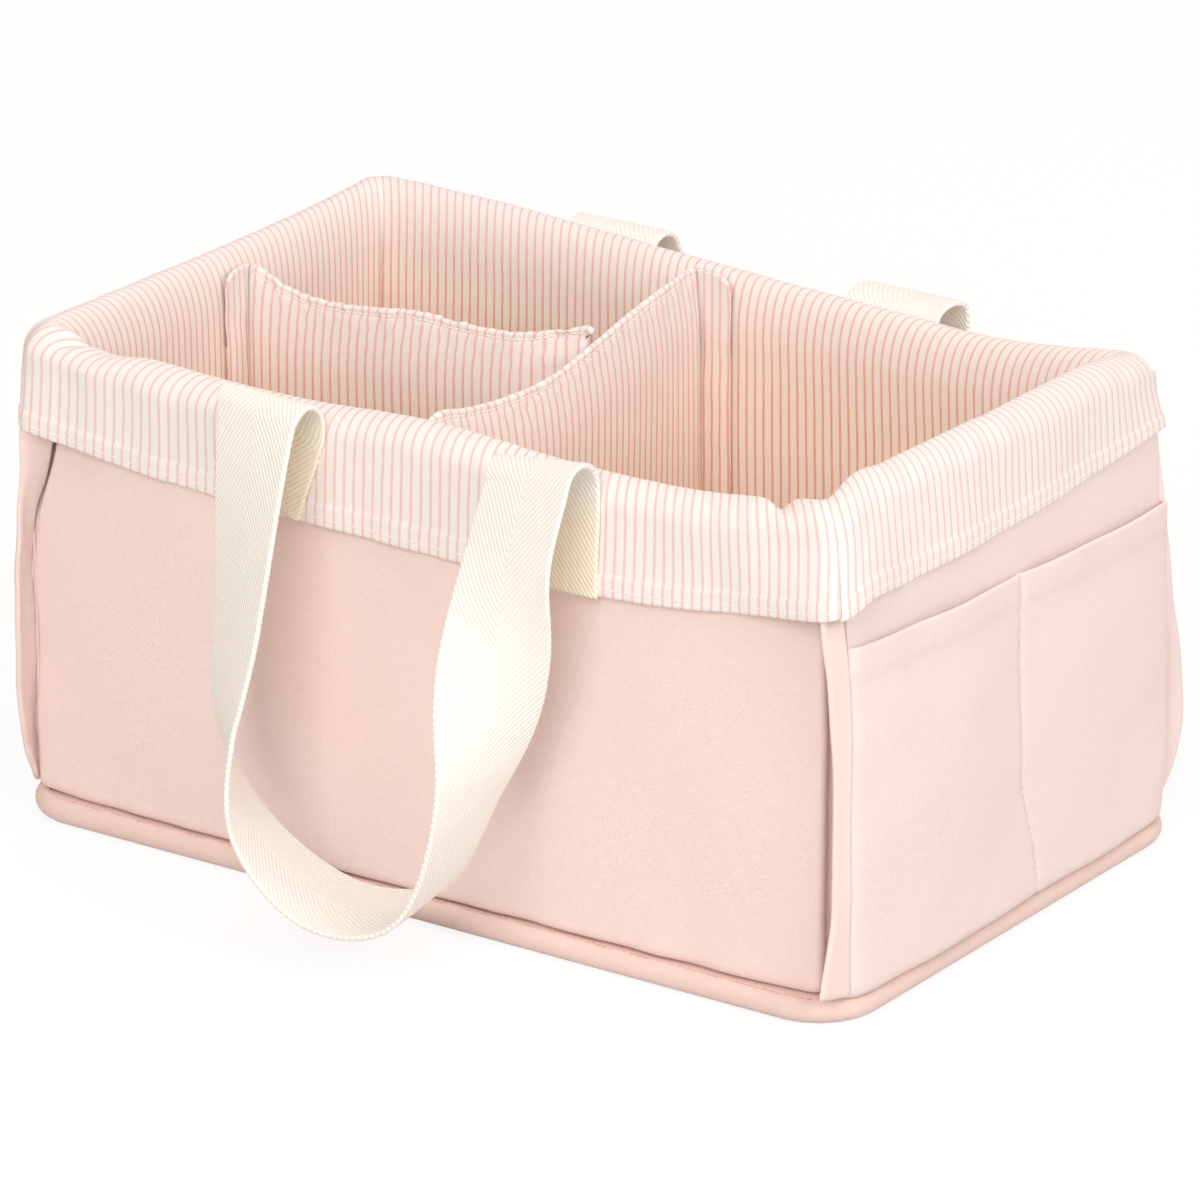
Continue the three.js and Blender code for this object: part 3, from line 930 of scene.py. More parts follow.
@dataclass
class Lining:
    """The striped lining of all four walls and its cuff, one band, and the floor between them."""

    foot: float = 10.2  # height of its foot
    cuff: float = 40.0  # from the rim down to the hem
    roll_height: float = 9.5  # of the rim's roll above the outer fold
    shoulder: float = 21.0  # of the roll above its inner start
    columns: int = 200
    starts: tuple[float, ...] = (0.0, 278.5, 557.0, 835.5)  # of each wall's cloth along the band
    length: float = 1114.0  # of the band
    lift: dict[str, tuple[float, ...]] = field(
        default_factory=lambda: {
            "front": (1.5, 1.0, -0.5, -4.5, -2.0, 1.5, 5.5),
            "right": (4.5, 1.0, 0.5, 1.0, 2.5, 5.5, 12.0),
            "back": (12.0, 4.0, 0.5, 0.0, 0.0, 1.0, 0.5),
            "left": (0.5, 1.0, 0.0, 0.0, 0.0, 1.0, 1.5),
        }
    )  # of the hem above a level cuff, along each wall
    flare: tuple[float, ...] = (1.5, 8.5, 2.0, 2.0)  # of the hem: front left and right, back left and right
    notches: tuple[tuple[float, ...], ...] = (
        (4.0, 153.0, 5.0, 1.45, 0.3),
        (3.2, -159.0, 4.5, 1.45, 0.3),
        (4.0, -147.0, 14.0, 1.4, 0.5),
    )  # of the front rim: depth, place and half width along the wall, and both over the roll
    tuck: tuple[float, ...] = (1.1, 4.5, 1.82, 0.36)  # of the cuff at each corner: the same but the place
    corner_seam: tuple[float, float] = (2.0, 1.6)  # inside: its depth and half width
    inside: Creases = Creases(60.0, 0.5, 3)
    soft: Creases = Creases(34.0, 0.55, 50)
    at_hem: Creases = Creases(8.5, 0.28, 60)
    gathers: Creases = Creases(15.0, 0.35, 70)

    def hem(self, wall: Wall, share: Grid | float) -> Grid:
        """The hem's height at a share of the way along a wall."""
        return wall.crest(share) - self.cuff + spline(self.lift[wall.name], (np.asarray(share) + 1) / 2)

    def profile(self, share: Grid, v: Grid, wall: Wall) -> tuple[Grid, Grid, Grid]:
        """The lining's path from its foot inside, over the rim and down to the hem.

        Args:
            share: of the way along the wall.
            v: 0 at the foot, 1 where the rim's roll starts, 2 where it ends, 3 at the hem.
            wall: the wall.

        Returns:
            Depth, height and length along the path.
        """
        crest = wall.crest(share)
        spring, fold, hem = crest - self.shoulder, crest - self.roll_height, self.hem(wall, share)
        rise, fall = np.clip(v, 0, 1), np.clip(v - 2, 0, 1)
        turn = np.clip(v - 1, 0, 1) * math.pi
        sine, inner = np.sin(turn), turn < math.pi / 2
        over = np.where(inner, spring + self.shoulder * sine, fold + self.roll_height * sine)
        low, high = self.foot + (spring - self.foot) * rise, fold + (hem - fold) * fall
        z = np.where(v < 1, low, np.where(v <= 2, over, high))
        bent = np.where(inner, (1 - np.cos(turn)) * 0.25 + sine * 0.75, 1 + (turn / (math.pi / 2) - 1) * 0.58)
        length = rise * (spring - self.foot) + bent * (self.shoulder + 3.0) + fall * (fold - hem)
        return LINING - ROLL + ROLL * np.cos(turn), z, length

    def surface(self, wall: Wall, v: Grid, u: Grid) -> tuple[Grid, Grid, Grid]:
        """The band's middle surface on one wall, with its notches, tucks and creases.

        Args:
            wall: the wall.
            v: places along the profile.
            u: shares of the way along the wall, from 0 to 1.

        Returns:
            The surface, its half thickness and its cloth coordinate.
        """
        share = np.sign(2 * u - 1) * (1 - (1 - np.abs(2 * u - 1)) ** 1.15)
        share, v = np.meshgrid(share, v)
        depth, z, length = self.profile(share, v, wall)
        out = (1 - np.cos(np.clip(v - 1, 0, 1) * math.pi)) / 2
        from_side = (1 - np.abs(share)) * wall.half_along
        run = share * wall.half_along
        push = wall.pushed(share, z) * out
        swell = inward(z) + self.inside.at(run, z, wall.seed)
        push = push - np.clip(1.1 - v, 0, 1) * rounded(from_side - 4, 40) * swell
        deep, wide, over, high = self.tuck
        tuck = deep * bump_at(from_side, 0, wide) * bump_at(v, over, high)
        deep, wide = self.corner_seam
        depth = depth + tuck - deep * np.clip(1 - v, 0, 1) ** 0.5 * bump_at(from_side, 0, wide)
        for deep, at, wide, over, high in self.notches if wall is FRONT else ():
            z = z - deep * bump_at(run, at, wide) * bump_at(v, over, high)
        z = z - 0.6 * tuck
        cuff, to_hem = smoothstep(v, 1.4, 2.2), np.clip(3 - v, 0, 1) * 30
        push = push + self.soft.at(run, z, wall.seed) * cuff * rounded(from_side, 10)
        push = push + fading(to_hem, 1.0, 5) * self.at_hem.at(run, 0 * z, wall.seed)
        push = push + bump_at(v, 1.75, 0.35) * self.gathers.at(run, z * 0.4, wall.seed)
        push = push + fading(to_hem, 0.3, 14) * cuff
        surface = self.flared(wall.place(share, depth, z, 1.2 + 5.5 * out, push), v)
        half = (0.55 + 0.55 * smoothstep(v, 2.72, 2.76)) * thinned(to_hem, 1.2)
        return LEAN.moved(surface), half, np.stack([run + self.starts[wall.turn], length], -1)

    def flared(self, p: Grid, v: Grid) -> Grid:
        """The cuff's corners drawn outwards towards the hem, where it passes over the fins.

        Args:
            p: the points.
            v: their places along the profile.

        Returns:
            The points, drawn out.
        """
        near = smoothstep(np.abs(p[..., 0]), 124.0, 174.0) * smoothstep(np.abs(p[..., 1]), 62.0, 104.0)
        corner = 2 * (p[..., 1] >= 0) + (p[..., 0] >= 0)
        amount = np.array(self.flare)[corner] * near * smoothstep(v, 2.05, 3.0)
        out = p.copy()
        out[..., :2] += np.sign(p[..., :2]) * amount[..., None] * np.array([0.52, 1.0])
        return out

    def shape(self) -> Shape:
        """All four walls' lining as one band, closed round the caddy."""
        roll = 1 + edge_dense(40, 0.2)[:-1]
        v = np.concatenate([np.linspace(0, 1, 40)[:-1], roll, runs((2, 2.9, 34), (2.9, 3, 9))])
        u = edge_dense(self.columns, 0.5)[:-1]
        parts = zip(*(self.surface(wall, v, u) for wall in WALLS))
        middle, half, cloth = (np.concatenate(part, axis=1) for part in parts)
        middle, half = (np.concatenate([g, g[:, :1]], axis=1) for g in (middle, half))
        cloth = np.concatenate([cloth, cloth[:, :1] + np.array([self.length, 0])], axis=1)
        wrapped = np.concatenate([middle[:, -3:-1], middle, middle[:, 1:3]], axis=1)
        shift = normals(wrapped)[:, 2:-2] * half[..., None]
        shift[:, -1] = shift[:, 0]
        return between(middle + shift, middle - shift, cloth)

    def hem_stitches(self, wall: Wall) -> Shape:
        """The row of stitches on one wall's cuff, above its hem.

        Args:
            wall: the wall.

        Returns:
            The stitches.
        """
        middle, _, _ = self.surface(wall, np.array([2.88, 2.9, 2.92]), np.linspace(0.004, 0.996, 500))
        n = normals(middle)[1]
        n = -n if (n * wall.out).sum() < 0 else n
        return stitched(middle[1] + n * 1.05, n, 2.6, 1.9, 0.3)

    def build(self, looks: Looks) -> None:
        """Makes the band and the stitches of its hem.

        Args:
            looks: the materials, by name.
        """
        nodes = tuple(f"{w.name}_lining" for w in WALLS)
        band = piece("lining_and_cuff", self.shape(), looks["striped"], nodes=nodes)
        first, *others = (self.hem_stitches(w) for w in WALLS)
        piece("cuff_hem_stitches", first.joined(*others), looks["cream_thread"])

    def build_floor(self, looks: Looks) -> None:
        """Makes the striped floor of the compartments.

        Args:
            looks: the materials, by name.
        """
        x, y = np.meshgrid(np.linspace(-160, 160, 60), np.linspace(-89.5, 89.5, 40))
        shape = thick(np.stack([x, y, 9.9 + 0.25 * ripple(x, y, 60.0, 91)], -1), 0.55, np.stack([x, y], -1))
        made = piece("floor_cloth", shape, looks["striped"], nodes=("floor_lining",))


# ---------------------------------------------------------------- corner fins and pockets


@dataclass(frozen=True)
class Fin:
    """A corner fin: the end wall's cloth folded double, standing out past the long wall."""

    wall: Wall  # the long wall
    end: int  # 1 for the fin at its end along the wall's direction, -1 at its start
    widths: tuple[float, ...]  # from its foot to the hem
    bulge: float = -0.4
    hollow: tuple[float, float] = (0.0, 0.0)  # how far its root is set back: all along, and more low down
    leant: float = 0.0  # how far its free edge is set back, towards the hem
    root: float = -1.8  # out from the wall's plain face
    under_hem: float = 3.0  # how far it goes up behind the hem
    least: float = 10.0  # flat width
    edge_wave: Creases = Creases(23.0, 0.25, 0)
    wave: Creases = Creases(26.0, 0.3, 7)

    def shape(self, lining: Lining) -> tuple[Shape, tuple[float, float]]:
        """The fin, from its root in the corner seam to its free folded edge.

        Args:
            lining: the lining, whose hem covers its head.

        Returns:
            The shape, and its flat width and length in metres.
        """
        wall, end, seed = self.wall, self.end, self.wall.seed + self.end
        across, up = np.meshgrid(edge_dense(17, 0.3), edge_dense(80, 0.4))
        z = FOOT + 0.8 + (float(lining.hem(wall, end)) + self.under_hem - FOOT) * up
        width = spline(self.widths, up) + self.edge_wave.at(z, 0 * z, seed)
        if wall is FRONT and end < 0:
            turned = parting(z) - 0.6
            root = self.root - 1.9 * smoothstep(turned, 1.5, 6.0)
        else:
            turned = 2.0 * smoothstep(up, 0.7, 1.0)
            root = self.root * (1 - smoothstep(up, 0.7, 1.0))
        out = root + (np.maximum(width, 0.6) - root) * across
        bulge = self.bulge * np.sin(math.pi * across) * np.sin(math.pi * up)
        back = (self.hollow[0] + self.hollow[1] * bump_at(up, 0.3, 0.2)) * (1 - across) ** 1.3
        back = back + self.leant * across * smoothstep(up, 0.5, 1.0)
        reach = wall.half_along + 0.4 - 1.5 * across - turned * (1 - across) - back + bulge
        reach = reach + self.wave.at(z, out, seed)
        z = z + 3.0 * smoothstep(up, 0.1, 0.0) * across
        middle = wall.at(end * reach, wall.half_out + out, z)
        half = (1.5 - 0.4 * across) * thinned((1 - across) * np.maximum(width, 1.0), 1.5, 0.25)
        half = half * thinned(up * 150, 2.0)
        wide, high = (np.linalg.norm(np.diff(middle, axis=k), axis=2).sum(k).mean() for k in (1, 0))
        shape = thick(LEAN.moved(middle), half, np.stack([out, z], -1))
        return shape, (max(float(wide), self.least) * MM, float(high) * MM)

    def build(self, looks: Looks, lining: Lining) -> None:
        """Makes the fin.

        Args:
            looks: the materials, by name.
            lining: the lining, whose hem covers its head.
        """
        name = f"{self.wall.name}_{self.wall.side(self.end)}_corner"
        look = "pale" if self.wall is BACK else "blush"
        shape, flat = self.shape(lining)
        strip = piece(f"{name}_fin", shape, looks[look], nodes=(f"{name}_strip",))


FINS = (
    Fin(FRONT, -1, (1.5, 7.0, 9.8, 10.6, 10.4, 9.8, 8.8, 7.4, 6.0, 4.6, 4.0), 1.6),
    Fin(FRONT, 1, (13.0, 9.5, 6.5, 5.4, 5.0, 4.9, 5.5, 6.5, 7.8, 9.4, 10.5), leant=1.2),
    Fin(BACK, -1, (0.8, 11.0, 16.4, 16.0, 13.6, 10.6, 8.0, 6.0, 4.0, 2.0, 1.0), 1.6, (5.0, 8.0)),
    Fin(BACK, 1, (8.0, 7.0, 6.0, 5.5, 5.5, 5.5, 6.0, 6.5, 6.5, 6.0, 5.0)),
)


@dataclass(frozen=True)
class Pocket:
    """A pocket on an end wall: two shallow bags on either side of a stitched line."""

    wall: Wall
    seam: tuple[float, float]  # place of the stitched line at the foot and at the mouth
    mouth: tuple[float, float]  # height of the mouth at the wall's start and at its end
    full: tuple[float, float]  # how far each bag stands out
    lap: float = 0.0  # over the back corner
    edge: float = 102.5  # half its length
    gape: float = 1.5  # of the mouth
    turned: float = 10.0  # depth of the hem that is turned in at the mouth
    broad: Creases = Creases(55.0, 0.5, 80)
    at_seam: Creases = Creases(16.0, 0.3, 81)

    def surface(self) -> tuple[Grid, Grid, Grid]:
        """The pocket's middle surface, its half thickness and its cloth coordinate."""
        wall, edge, side, v = self.wall, self.edge, edge_dense(70, 0.3), runs((0, 0.97, 60), (0.97, 1, 8))
        seam = (self.seam[0] + (self.seam[1] - self.seam[0]) * smoothstep(v, 0.05, 0.42))[:, None]
        y = [-edge + (seam + edge) * side[None, :-1], seam + (edge - seam) * side[None]]
        y = np.concatenate(y, axis=1)
        v = np.repeat(v[:, None], y.shape[1], axis=1)
        first = y < seam
        share = np.where(first, (y + edge) / (seam + edge), (y - seam) / (edge - seam))
        arch = np.clip(np.sin(math.pi * share), 0, 1)
        start, end = self.mouth
        above = (start + (end - start) * (y + edge) / (2 * edge) - FOOT) * v
        z, from_edge = FOOT + above, edge - np.abs(y)
        full = np.where(first, *self.full) * arch**0.7 * (0.35 + 0.65 * smoothstep(v, 0, 0.5))
        push = wall.pushed(y / wall.half_along, z) + 1.1 + full * (1 - 0.85 * smoothstep(v, 0.7, 1.0))
        push = push + foot_roll(above, from_edge) + self.gape * arch**0.4 * smoothstep(v, 0.84, 1.0)
        push = push - 0.6 * bump_at(y, seam, 1.6) + self.broad.at(y, z, wall.seed) * rounded(from_edge, 15)
        push = push + fading(np.abs(y - seam), 1.0, 8) * self.at_seam.at(y * 0.3, z, wall.seed)
        push = push - dip(above, 2.0, 5.0) - dip(from_edge, 2.6, 5.0)
        middle = wall.at(y + self.lap * back_lap(z, y, 70.0, edge), wall.half_out + push, z)
        to_edge = (1 - v) * 125
        half = (0.5 + 0.5 * smoothstep(to_edge, self.turned + 0.5, self.turned)) * thinned(to_edge, 1.0)
        return LEAN.moved(middle), half, np.stack([y, z], -1)

    def build(self, looks: Looks) -> None:
        """Makes the pocket and its two rows of stitches, down the middle and along the mouth.

        Args:
            looks: the materials, by name.
        """
        name = self.wall.name
        middle, half, cloth = self.surface()
        shape = thick(middle, half, cloth)
        made = piece(f"{name}_pocket_panel", shape, looks["pale"], nodes=(f"{name}_pocket",))
        n, seam, level = normals(middle, self.wall.out), middle.shape[1] // 2, len(middle) - 8
        centre = stitched(middle[2:-2, seam] + n[2:-2, seam] * 0.7, n[2:-2, seam], 2.8, 2.0, 0.3)
        mouth = stitched(middle[level] + n[level] * 0.75, n[level], 2.8, 2.0, 0.25)
        piece(f"{name}_pocket_stitches", centre.joined(mouth), looks["pale_thread"])


POCKETS = (
    Pocket(LEFT, (-12.4, -9.4), (130.0, 134.0), (2.4, 3.2)),
    Pocket(RIGHT, (12.4, 3.0), (136.5, 129.0), (3.2, 2.4), 5.0),
)


# ---------------------------------------------------------------- dividers


@dataclass(frozen=True)
class Panel:
    """One divider's padded panel. Its creases' seeds are seed and the few numbers after it."""

    name: str
    ends: tuple[float, float]  # the start and the end of its run
    rim: tuple[float, ...]  # heights of its upper edge
    corners: tuple[float, float]  # radii of its upper corners
    gathered: float  # how far down the gathers fade
    seed: int


@dataclass
class Dividers:
    """The cross divider and the long divider, padded panels with a flap at each end, and their loop tapes."""

    foot: float = 10.4
    thickness: float = 9.0
    thin: float = 2.6  # where it is sewn
    taper: float = 26.0  # down from there to its whole thickness
    sewn: float = 2.6  # from the upper edge to the stitches
    flap: float = 16.5  # length of a flap
    cross_x: float = -15.0
    long_y: float = 7.0
    cross: Panel = Panel(
        "cross_divider",
        (-86.8, 86.8),
        (180.5, 174.5, 172.3, 173.0, 177.5, 182.0, 184.5, 185.5),
        (17.0, 2.5),
        gathered=16.0,
        seed=200,
    )
    long: Panel = Panel(
        "long_divider",
        (-157.2, -22.9),
        (182.0, 175.0, 173.8, 175.7, 178.0, 177.3, 178.4, 185.0),
        (3.0, 3.5),
        gathered=15.0,
        seed=210,
    )

    def bow(self, z: Grid) -> Grid:
        """How far the cross divider's middle has bowed to the right at each height."""
        return 6.5 * smoothstep(z, self.foot, 176.0)

    def past(self, z: Grid) -> Grid:
        """How far the long divider's right end goes on at each height, to stay on the bowed cross divider."""
        steps = ((2.2, 151.0, 157.0), (2.5, 163.0, 172.0), (3.5, 179.5, 182.0))
        return self.bow(z) + sum(more * smoothstep(z, low, high) for more, low, high in steps)

    def half(self, across: Grid, below: Grid, gather: Grid) -> Grid:
        """Half the thickness: full in the middle, thinner to the ends and to the sewn, gathered upper edge.

        Args:
            across: share of the way along the panel.
            below: distance down from its upper edge.
            gather: the gathers' height.

        Returns:
            Half the thickness, with the dip of the stitches.
        """
        ends = 1 - np.abs(2 * across - 1) ** 26
        rise = smoothstep(below, self.sewn * 0.7, self.taper)
        full = self.thin + (self.thickness - self.thin) * (0.25 + 0.75 * ends) * np.sqrt(rise)
        return (full / 2 + gather) * thinned(below, 1.4) - 0.35 * bump_at(below, self.sewn, 0.8)

    def faces(self, panel: Panel) -> tuple[Grid, Grid, Grid, Grid]:
        """A padded panel, which bends and gathers along its upper edge and has rounded upper corners.

        A rounded corner lies below the edge by r less the root of r squared less the rest's square.

        Args:
            panel: the divider.

        Returns:
            Its two faces, its cloth coordinate and its depth below the upper edge.
        """
        u, v = np.meshgrid(edge_dense(150, 0.5), runs((0, 0.8, 46), (0.8, 1, 40)))
        start, end = panel.ends
        length, arch, seed = end - start, np.sin(math.pi * u), panel.seed
        top = spline(panel.rim, u)
        for distance, radius in zip((u * length, (1 - u) * length), panel.corners):
            top = top - radius + np.sqrt(radius**2 - np.clip(radius - distance, 0, radius) ** 2 + 1e-9)
        z, run = self.foot + (top - self.foot) * v, start + length * u
        if panel is self.cross:
            middle = self.cross_x + self.bow(z) * arch
        else:
            run = run + self.past(z) * smoothstep(u, 0.72, 1.0)
            middle = self.long_y - 1.5 * arch * v
            middle = middle + 6.5 * smoothstep(u, 0.84, 1.0) * smoothstep(z, 100.0, 168.0)
        below = top - z
        gather = fading(below, 0.25, panel.gathered) * ripple(run, below * 0.6, 11.0, seed + 1)
        gather = gather + fading(below, 0.225, 6) * ripple(run, below * 0.5, 4.6, seed + 5)
        edge = fading(below, 0.35, 2.0) * ripple(run, 0 * run, 5.0, seed + 3)
        middle = middle + 0.6 * ripple(run, z, 60.0, seed + 2) * arch + edge
        half = self.half(u, below, gather)
        z = z + edge * 0.8
        if panel is self.cross:
            faces = [np.stack([middle + s * half, run, z], -1) for s in (1, -1)]
        else:
            faces = [np.stack([run, middle + s * half, z], -1) for s in (-1, 1)]
        wave = fading(below, 1.2, 7) * ripple(run, below, 6.0, seed + 6)
        return LEAN.moved(faces[0]), LEAN.moved(faces[1]), np.stack([run + wave, z], -1), below

    def seam(self, face: Grid, below: Grid, out: Grid) -> Shape:
        """Stitches below the sewn upper edge, on one face.

        Args:
            face: its points.
            below: their distance down from the upper edge.
            out: the direction off the face.

        Returns:
            The stitches.
        """
        row = np.abs(below - self.sewn).argmin(axis=0)
        line = face[row, np.arange(face.shape[1])][4:-4]
        return stitched(line + out * 0.15, np.broadcast_to(out, line.shape), 2.7, 1.9, 0.33)

    def on_wall(self, wall: Wall, middle: float, toward: float, head: float, seed: int) -> Shape:
        """A divider's flap, which lies on the wall's lining and is rounded off at its upper corner.

        Args:
            wall: the wall.
            middle: where it starts along the wall.
            toward: 1 or -1, the direction in which it lies from there.
            head: its height.
            seed: of its creases.

        Returns:
            The flap.
        """
        u, v = np.meshgrid(edge_dense(14, 0.4), runs((0, 0.93, 40), (0.93, 1, 12)))
        to_edge = (1 - u) * self.flap
        run = middle + toward * self.flap * u
        z = self.foot + (head - self.foot) * v
        z = z - dip(to_edge, 7.0, 8.0) * smoothstep(v, 0.8, 1.0)
        depth = LINING + 1.8 + inward(z) + 0.4 * ripple(run, z, 18.0, seed)
        surface = LEAN.moved(wall.place(run / wall.half_along, depth, z, 1.0))
        return thick(surface, 0.75 * thinned(to_edge, 1.2), np.stack([run + 2.0, z], -1))

    def on_cross(self, off: float, half: float, start: float, end: float, low: float, high: float) -> Shape:
        """A strip of cloth that lies against the cross divider's left face and follows its bow.

        Args:
            off: the strip's middle surface, off the plain face.
            half: its half thickness.
            start: its front edge.
            end: its back edge.
            low: its foot.
            high: its head.

        Returns:
            The strip.
        """
        y, z = np.meshgrid(np.linspace(start, end, 12), np.linspace(low, high, 60))
        across = np.sin(math.pi * (y / self.cross.ends[1] + 1) / 2)
        x = self.cross_x - self.thickness / 2 - off + self.bow(z) * across
        return thick(LEAN.moved(np.stack([x, y, z], -1)), half, np.stack([y, z], -1))

    def tape(self, wall: Wall, middle: float, toward: float) -> Shape:
        """A strip of loop tape under a flap, 10 mm wide and 130 mm high.

        Args:
            wall: the wall.
            middle: where it starts along the wall.
            toward: 1 or -1, the direction in which it lies from there.

        Returns:
            The tape.
        """
        u, v = np.meshgrid(np.linspace(0, 1, 8), np.linspace(0, 1, 40))
        run, z = middle + toward * 10.0 * u, 22.0 + 130.0 * v
        surface = wall.place(run / wall.half_along, LINING + 0.75 + inward(z) * 0.9, z, 1.0)
        return thick(LEAN.moved(surface), 0.45, np.stack([run, z], -1))

    def build(self, looks: Looks) -> None:
        """Makes both dividers with their stitches, flaps and tapes.

        Args:
            looks: the materials, by name.
        """
        for panel, out in ((self.cross, HEADINGS[0]), (self.long, HEADINGS[3])):
            first, second, cloth, below = self.faces(panel)
            shape, name = between(first, second, cloth), panel.name
            piece(name, shape, looks["striped"], name, (f"{name}_pad",))
            sewn = self.seam(first, below, out).joined(self.seam(second, below, -out))
            piece(f"{name}_stitches", sewn, looks["cream_thread"], name)
        edge, cross, long = self.thickness / 2, self.cross.name, self.long.name
        for wall, head in ((FRONT, 176.0), (BACK, 184.0)):
            toward = float(wall.along[0])
            shape = self.on_wall(wall, (self.cross_x - 1.0) * toward, toward, head, 221)
            self.make_flap(looks, cross, wall.name, shape)
            self.make_tape(looks, wall.name, self.tape(wall, (self.cross_x + edge) * toward, toward))
        shape = self.on_wall(LEFT, -self.long_y - 1.0, 1.0, 181.0, 223)
        self.make_flap(looks, long, "left", shape)
        self.make_tape(looks, "left", self.tape(LEFT, -self.long_y + edge, 1.0))
        self.make_flap(looks, long, "right", self.on_cross(2.1, 0.6, -8.5, 11.2, 10.6, 150.0))
        self.make_tape(looks, cross, self.on_cross(0.95, 0.4, -7.5, 10.5, 22.0, 149.0))

    def make_flap(
        self, looks: Looks, divider: str, side: str, shape: Shape
    ) -> None:
        """Puts a flap into the scene, which rides on its divider.

        Args:
            looks: the materials, by name.
            divider: the divider's name.
            side: its end of the divider.
            shape: the flap.
        """
        name = f"{divider}_{side}_flap"
        flap = piece(f"{name}_cloth", shape, looks["striped"], divider, (name,))

    def make_tape(self, looks: Looks, side: str, shape: Shape) -> None:
        """Puts a loop tape into the scene, on the lining or on the cross divider.

        Args:
            looks: the materials, by name.
            side: the wall or the divider that it is sewn to.
            shape: the tape.
        """
        on_cross = side == self.cross.name
        body, under = (side, side) if on_cross else ("caddy", "lining_and_cuff")
        tape = piece(f"{side}_tape", shape, looks["tape"], body, (f"{side}_loop_tape",))


# ---------------------------------------------------------------- handles


@dataclass
class Handle:
    """One webbing strap in one length: a sewn end, a fold, the hanging loop, a fold and a sewn end."""

    wall: Wall
    axis_out: float
    axis_z: float
    body: str
    width: float = 38.6
    thickness: float = 2.0
    cup: float = 0.5  # how far the loop's edges curl back
    reach: float = 57.5  # from the wall's middle to each sewn end's
    off: float = 3.4  # of the sewn ends, from the padded wall
    fold_inner: float = 9.5  # radius of a fold where it starts, and where it ends
    fold_outer: float = 6.5
    lean: float = 17.0  # degrees that a fold stops short of half a turn
    cone: float = 10.0  # degrees that the webbing has turned at the folds' ends, right edge forward
    tail_slant: tuple[float, float] = (-13.0, 0.0)
    tail: tuple[float, float] = (34.0, 42.0)  # how far the sewn ends reach below the rim, left and right
    raised: tuple[float, ...] = (5.9, 0.6, 5.0, 2.5)  # of the folds: left, its outer edge more, and right
    shift: tuple[float, float] = (-5.5, 7.0)  # of the back strap: all of it, and its sides apart
    stations: tuple[tuple[float, float, float], ...] = (
        (-55.5, 15.5, 24.5),
        (-54.5, 23.0, 59.0),
        (-55.0, 30.5, 100.5),
        (-38.0, 36.0, 134.0),
        (-1.0, 39.5, 152.0),
        (34.5, 36.5, 142.5),
        (51.5, 31.5, 99.0),
        (55.0, 23.5, 55.0),
        (55.5, 16.5, 23.0),
    )  # of the loop: along, out from the axis and down from it
    twist: tuple[float, ...] = (20, 31, 44, 74, 94, 97, 84, 30, -6)  # degrees that it has turned there
    steps: int = 520  # down the whole strap

    def fold(self, sign: int) -> tuple[Grid, Grid]:
        """The sewn end and the fold.

        Args:
            sign: -1 for the left end, 1 for the right.

        Returns:
            Points up the cuff and round the axis, and the direction across the webbing at each.
        """
        wall, k = self.wall, (sign + 1) // 2
        foot = float(wall.crest(sign * self.reach / wall.half_along)) - self.tail[k]
        z = np.linspace(foot, self.axis_z - 2.0, 26)[:-1]
        x = sign * self.reach + self.tail_slant[k] * np.clip((self.axis_z - z) / 34.0, 0, 1.2)
        y = wall.half_out + wall.pushed(x / wall.half_along, z) + self.off
        meet = smoothstep(z, self.axis_z - 22.0, self.axis_z)
        y = y * (1 - meet) + (self.axis_out - self.fold_inner) * meet
        angle = np.linspace(0, math.pi - math.radians(self.lean), 40)
        radius = self.fold_inner + (self.fold_outer - self.fold_inner) * smoothstep(angle, 0, angle[-1])
        x = np.concatenate([x, np.full_like(angle, sign * self.reach)])
        y = -np.concatenate([y, self.axis_out - radius * np.cos(angle)])
        turn = math.radians(self.cone) * np.concatenate([0 * z, smoothstep(angle, 0.5, angle[-1])])
        z = np.concatenate([z, self.axis_z + radius * np.sin(angle)])
        return np.stack([x, y, z], -1), np.stack([sign * np.cos(turn), -sign * np.sin(turn), 0 * turn], -1)

    def loop(self, start: Grid, end: Grid) -> tuple[Grid, Grid]:
        """The hanging loop: a curve through its stations, with the webbing turned about it by the twist.

        Args:
            start: where the left fold ends.
            end: where the right fold ends.

        Returns:
            Its middle line, and the direction across the webbing at each point.
        """
        places = [np.array([x, -self.axis_out - out, self.axis_z - down]) for x, out, down in self.stations]
        t = np.linspace(0, 1, 400)
        line = spline(np.array([start, *places, end]), t)
        forward = unit(np.gradient(line, axis=0))
        face = square_to(np.broadcast_to([0, -1.0, 0], line.shape), forward)
        turn = np.radians(spline((self.cone, *self.twist, -self.cone), t))[:, None]
        return line, np.cross(forward, face * np.cos(turn) + np.cross(forward, face) * np.sin(turn))

    def path(self) -> tuple[Grid, Grid]:
        """The whole middle line at even steps, and the smoothed direction across the webbing at each."""
        (left, across_left), (right, across_right) = self.fold(-1), self.fold(1)
        line, across = self.loop(left[-1], right[-1])
        line = np.concatenate([left[:-1], line, right[::-1][1:]])
        across = np.concatenate([across_left[:-1], across, across_right[::-1][1:]])
        done = lengths(line)
        even = np.linspace(0, done[-1], self.steps)
        line, across = sampled(even, done, line), unit(sampled(even, done, across))
        window = np.hanning(15) / np.hanning(15).sum()
        smooth = [np.convolve(np.pad(across[:, k], 7, mode="edge"), window, mode="valid") for k in range(3)]
        return line, square_to(unit(np.stack(smooth, -1)), unit(np.gradient(line, axis=0)))

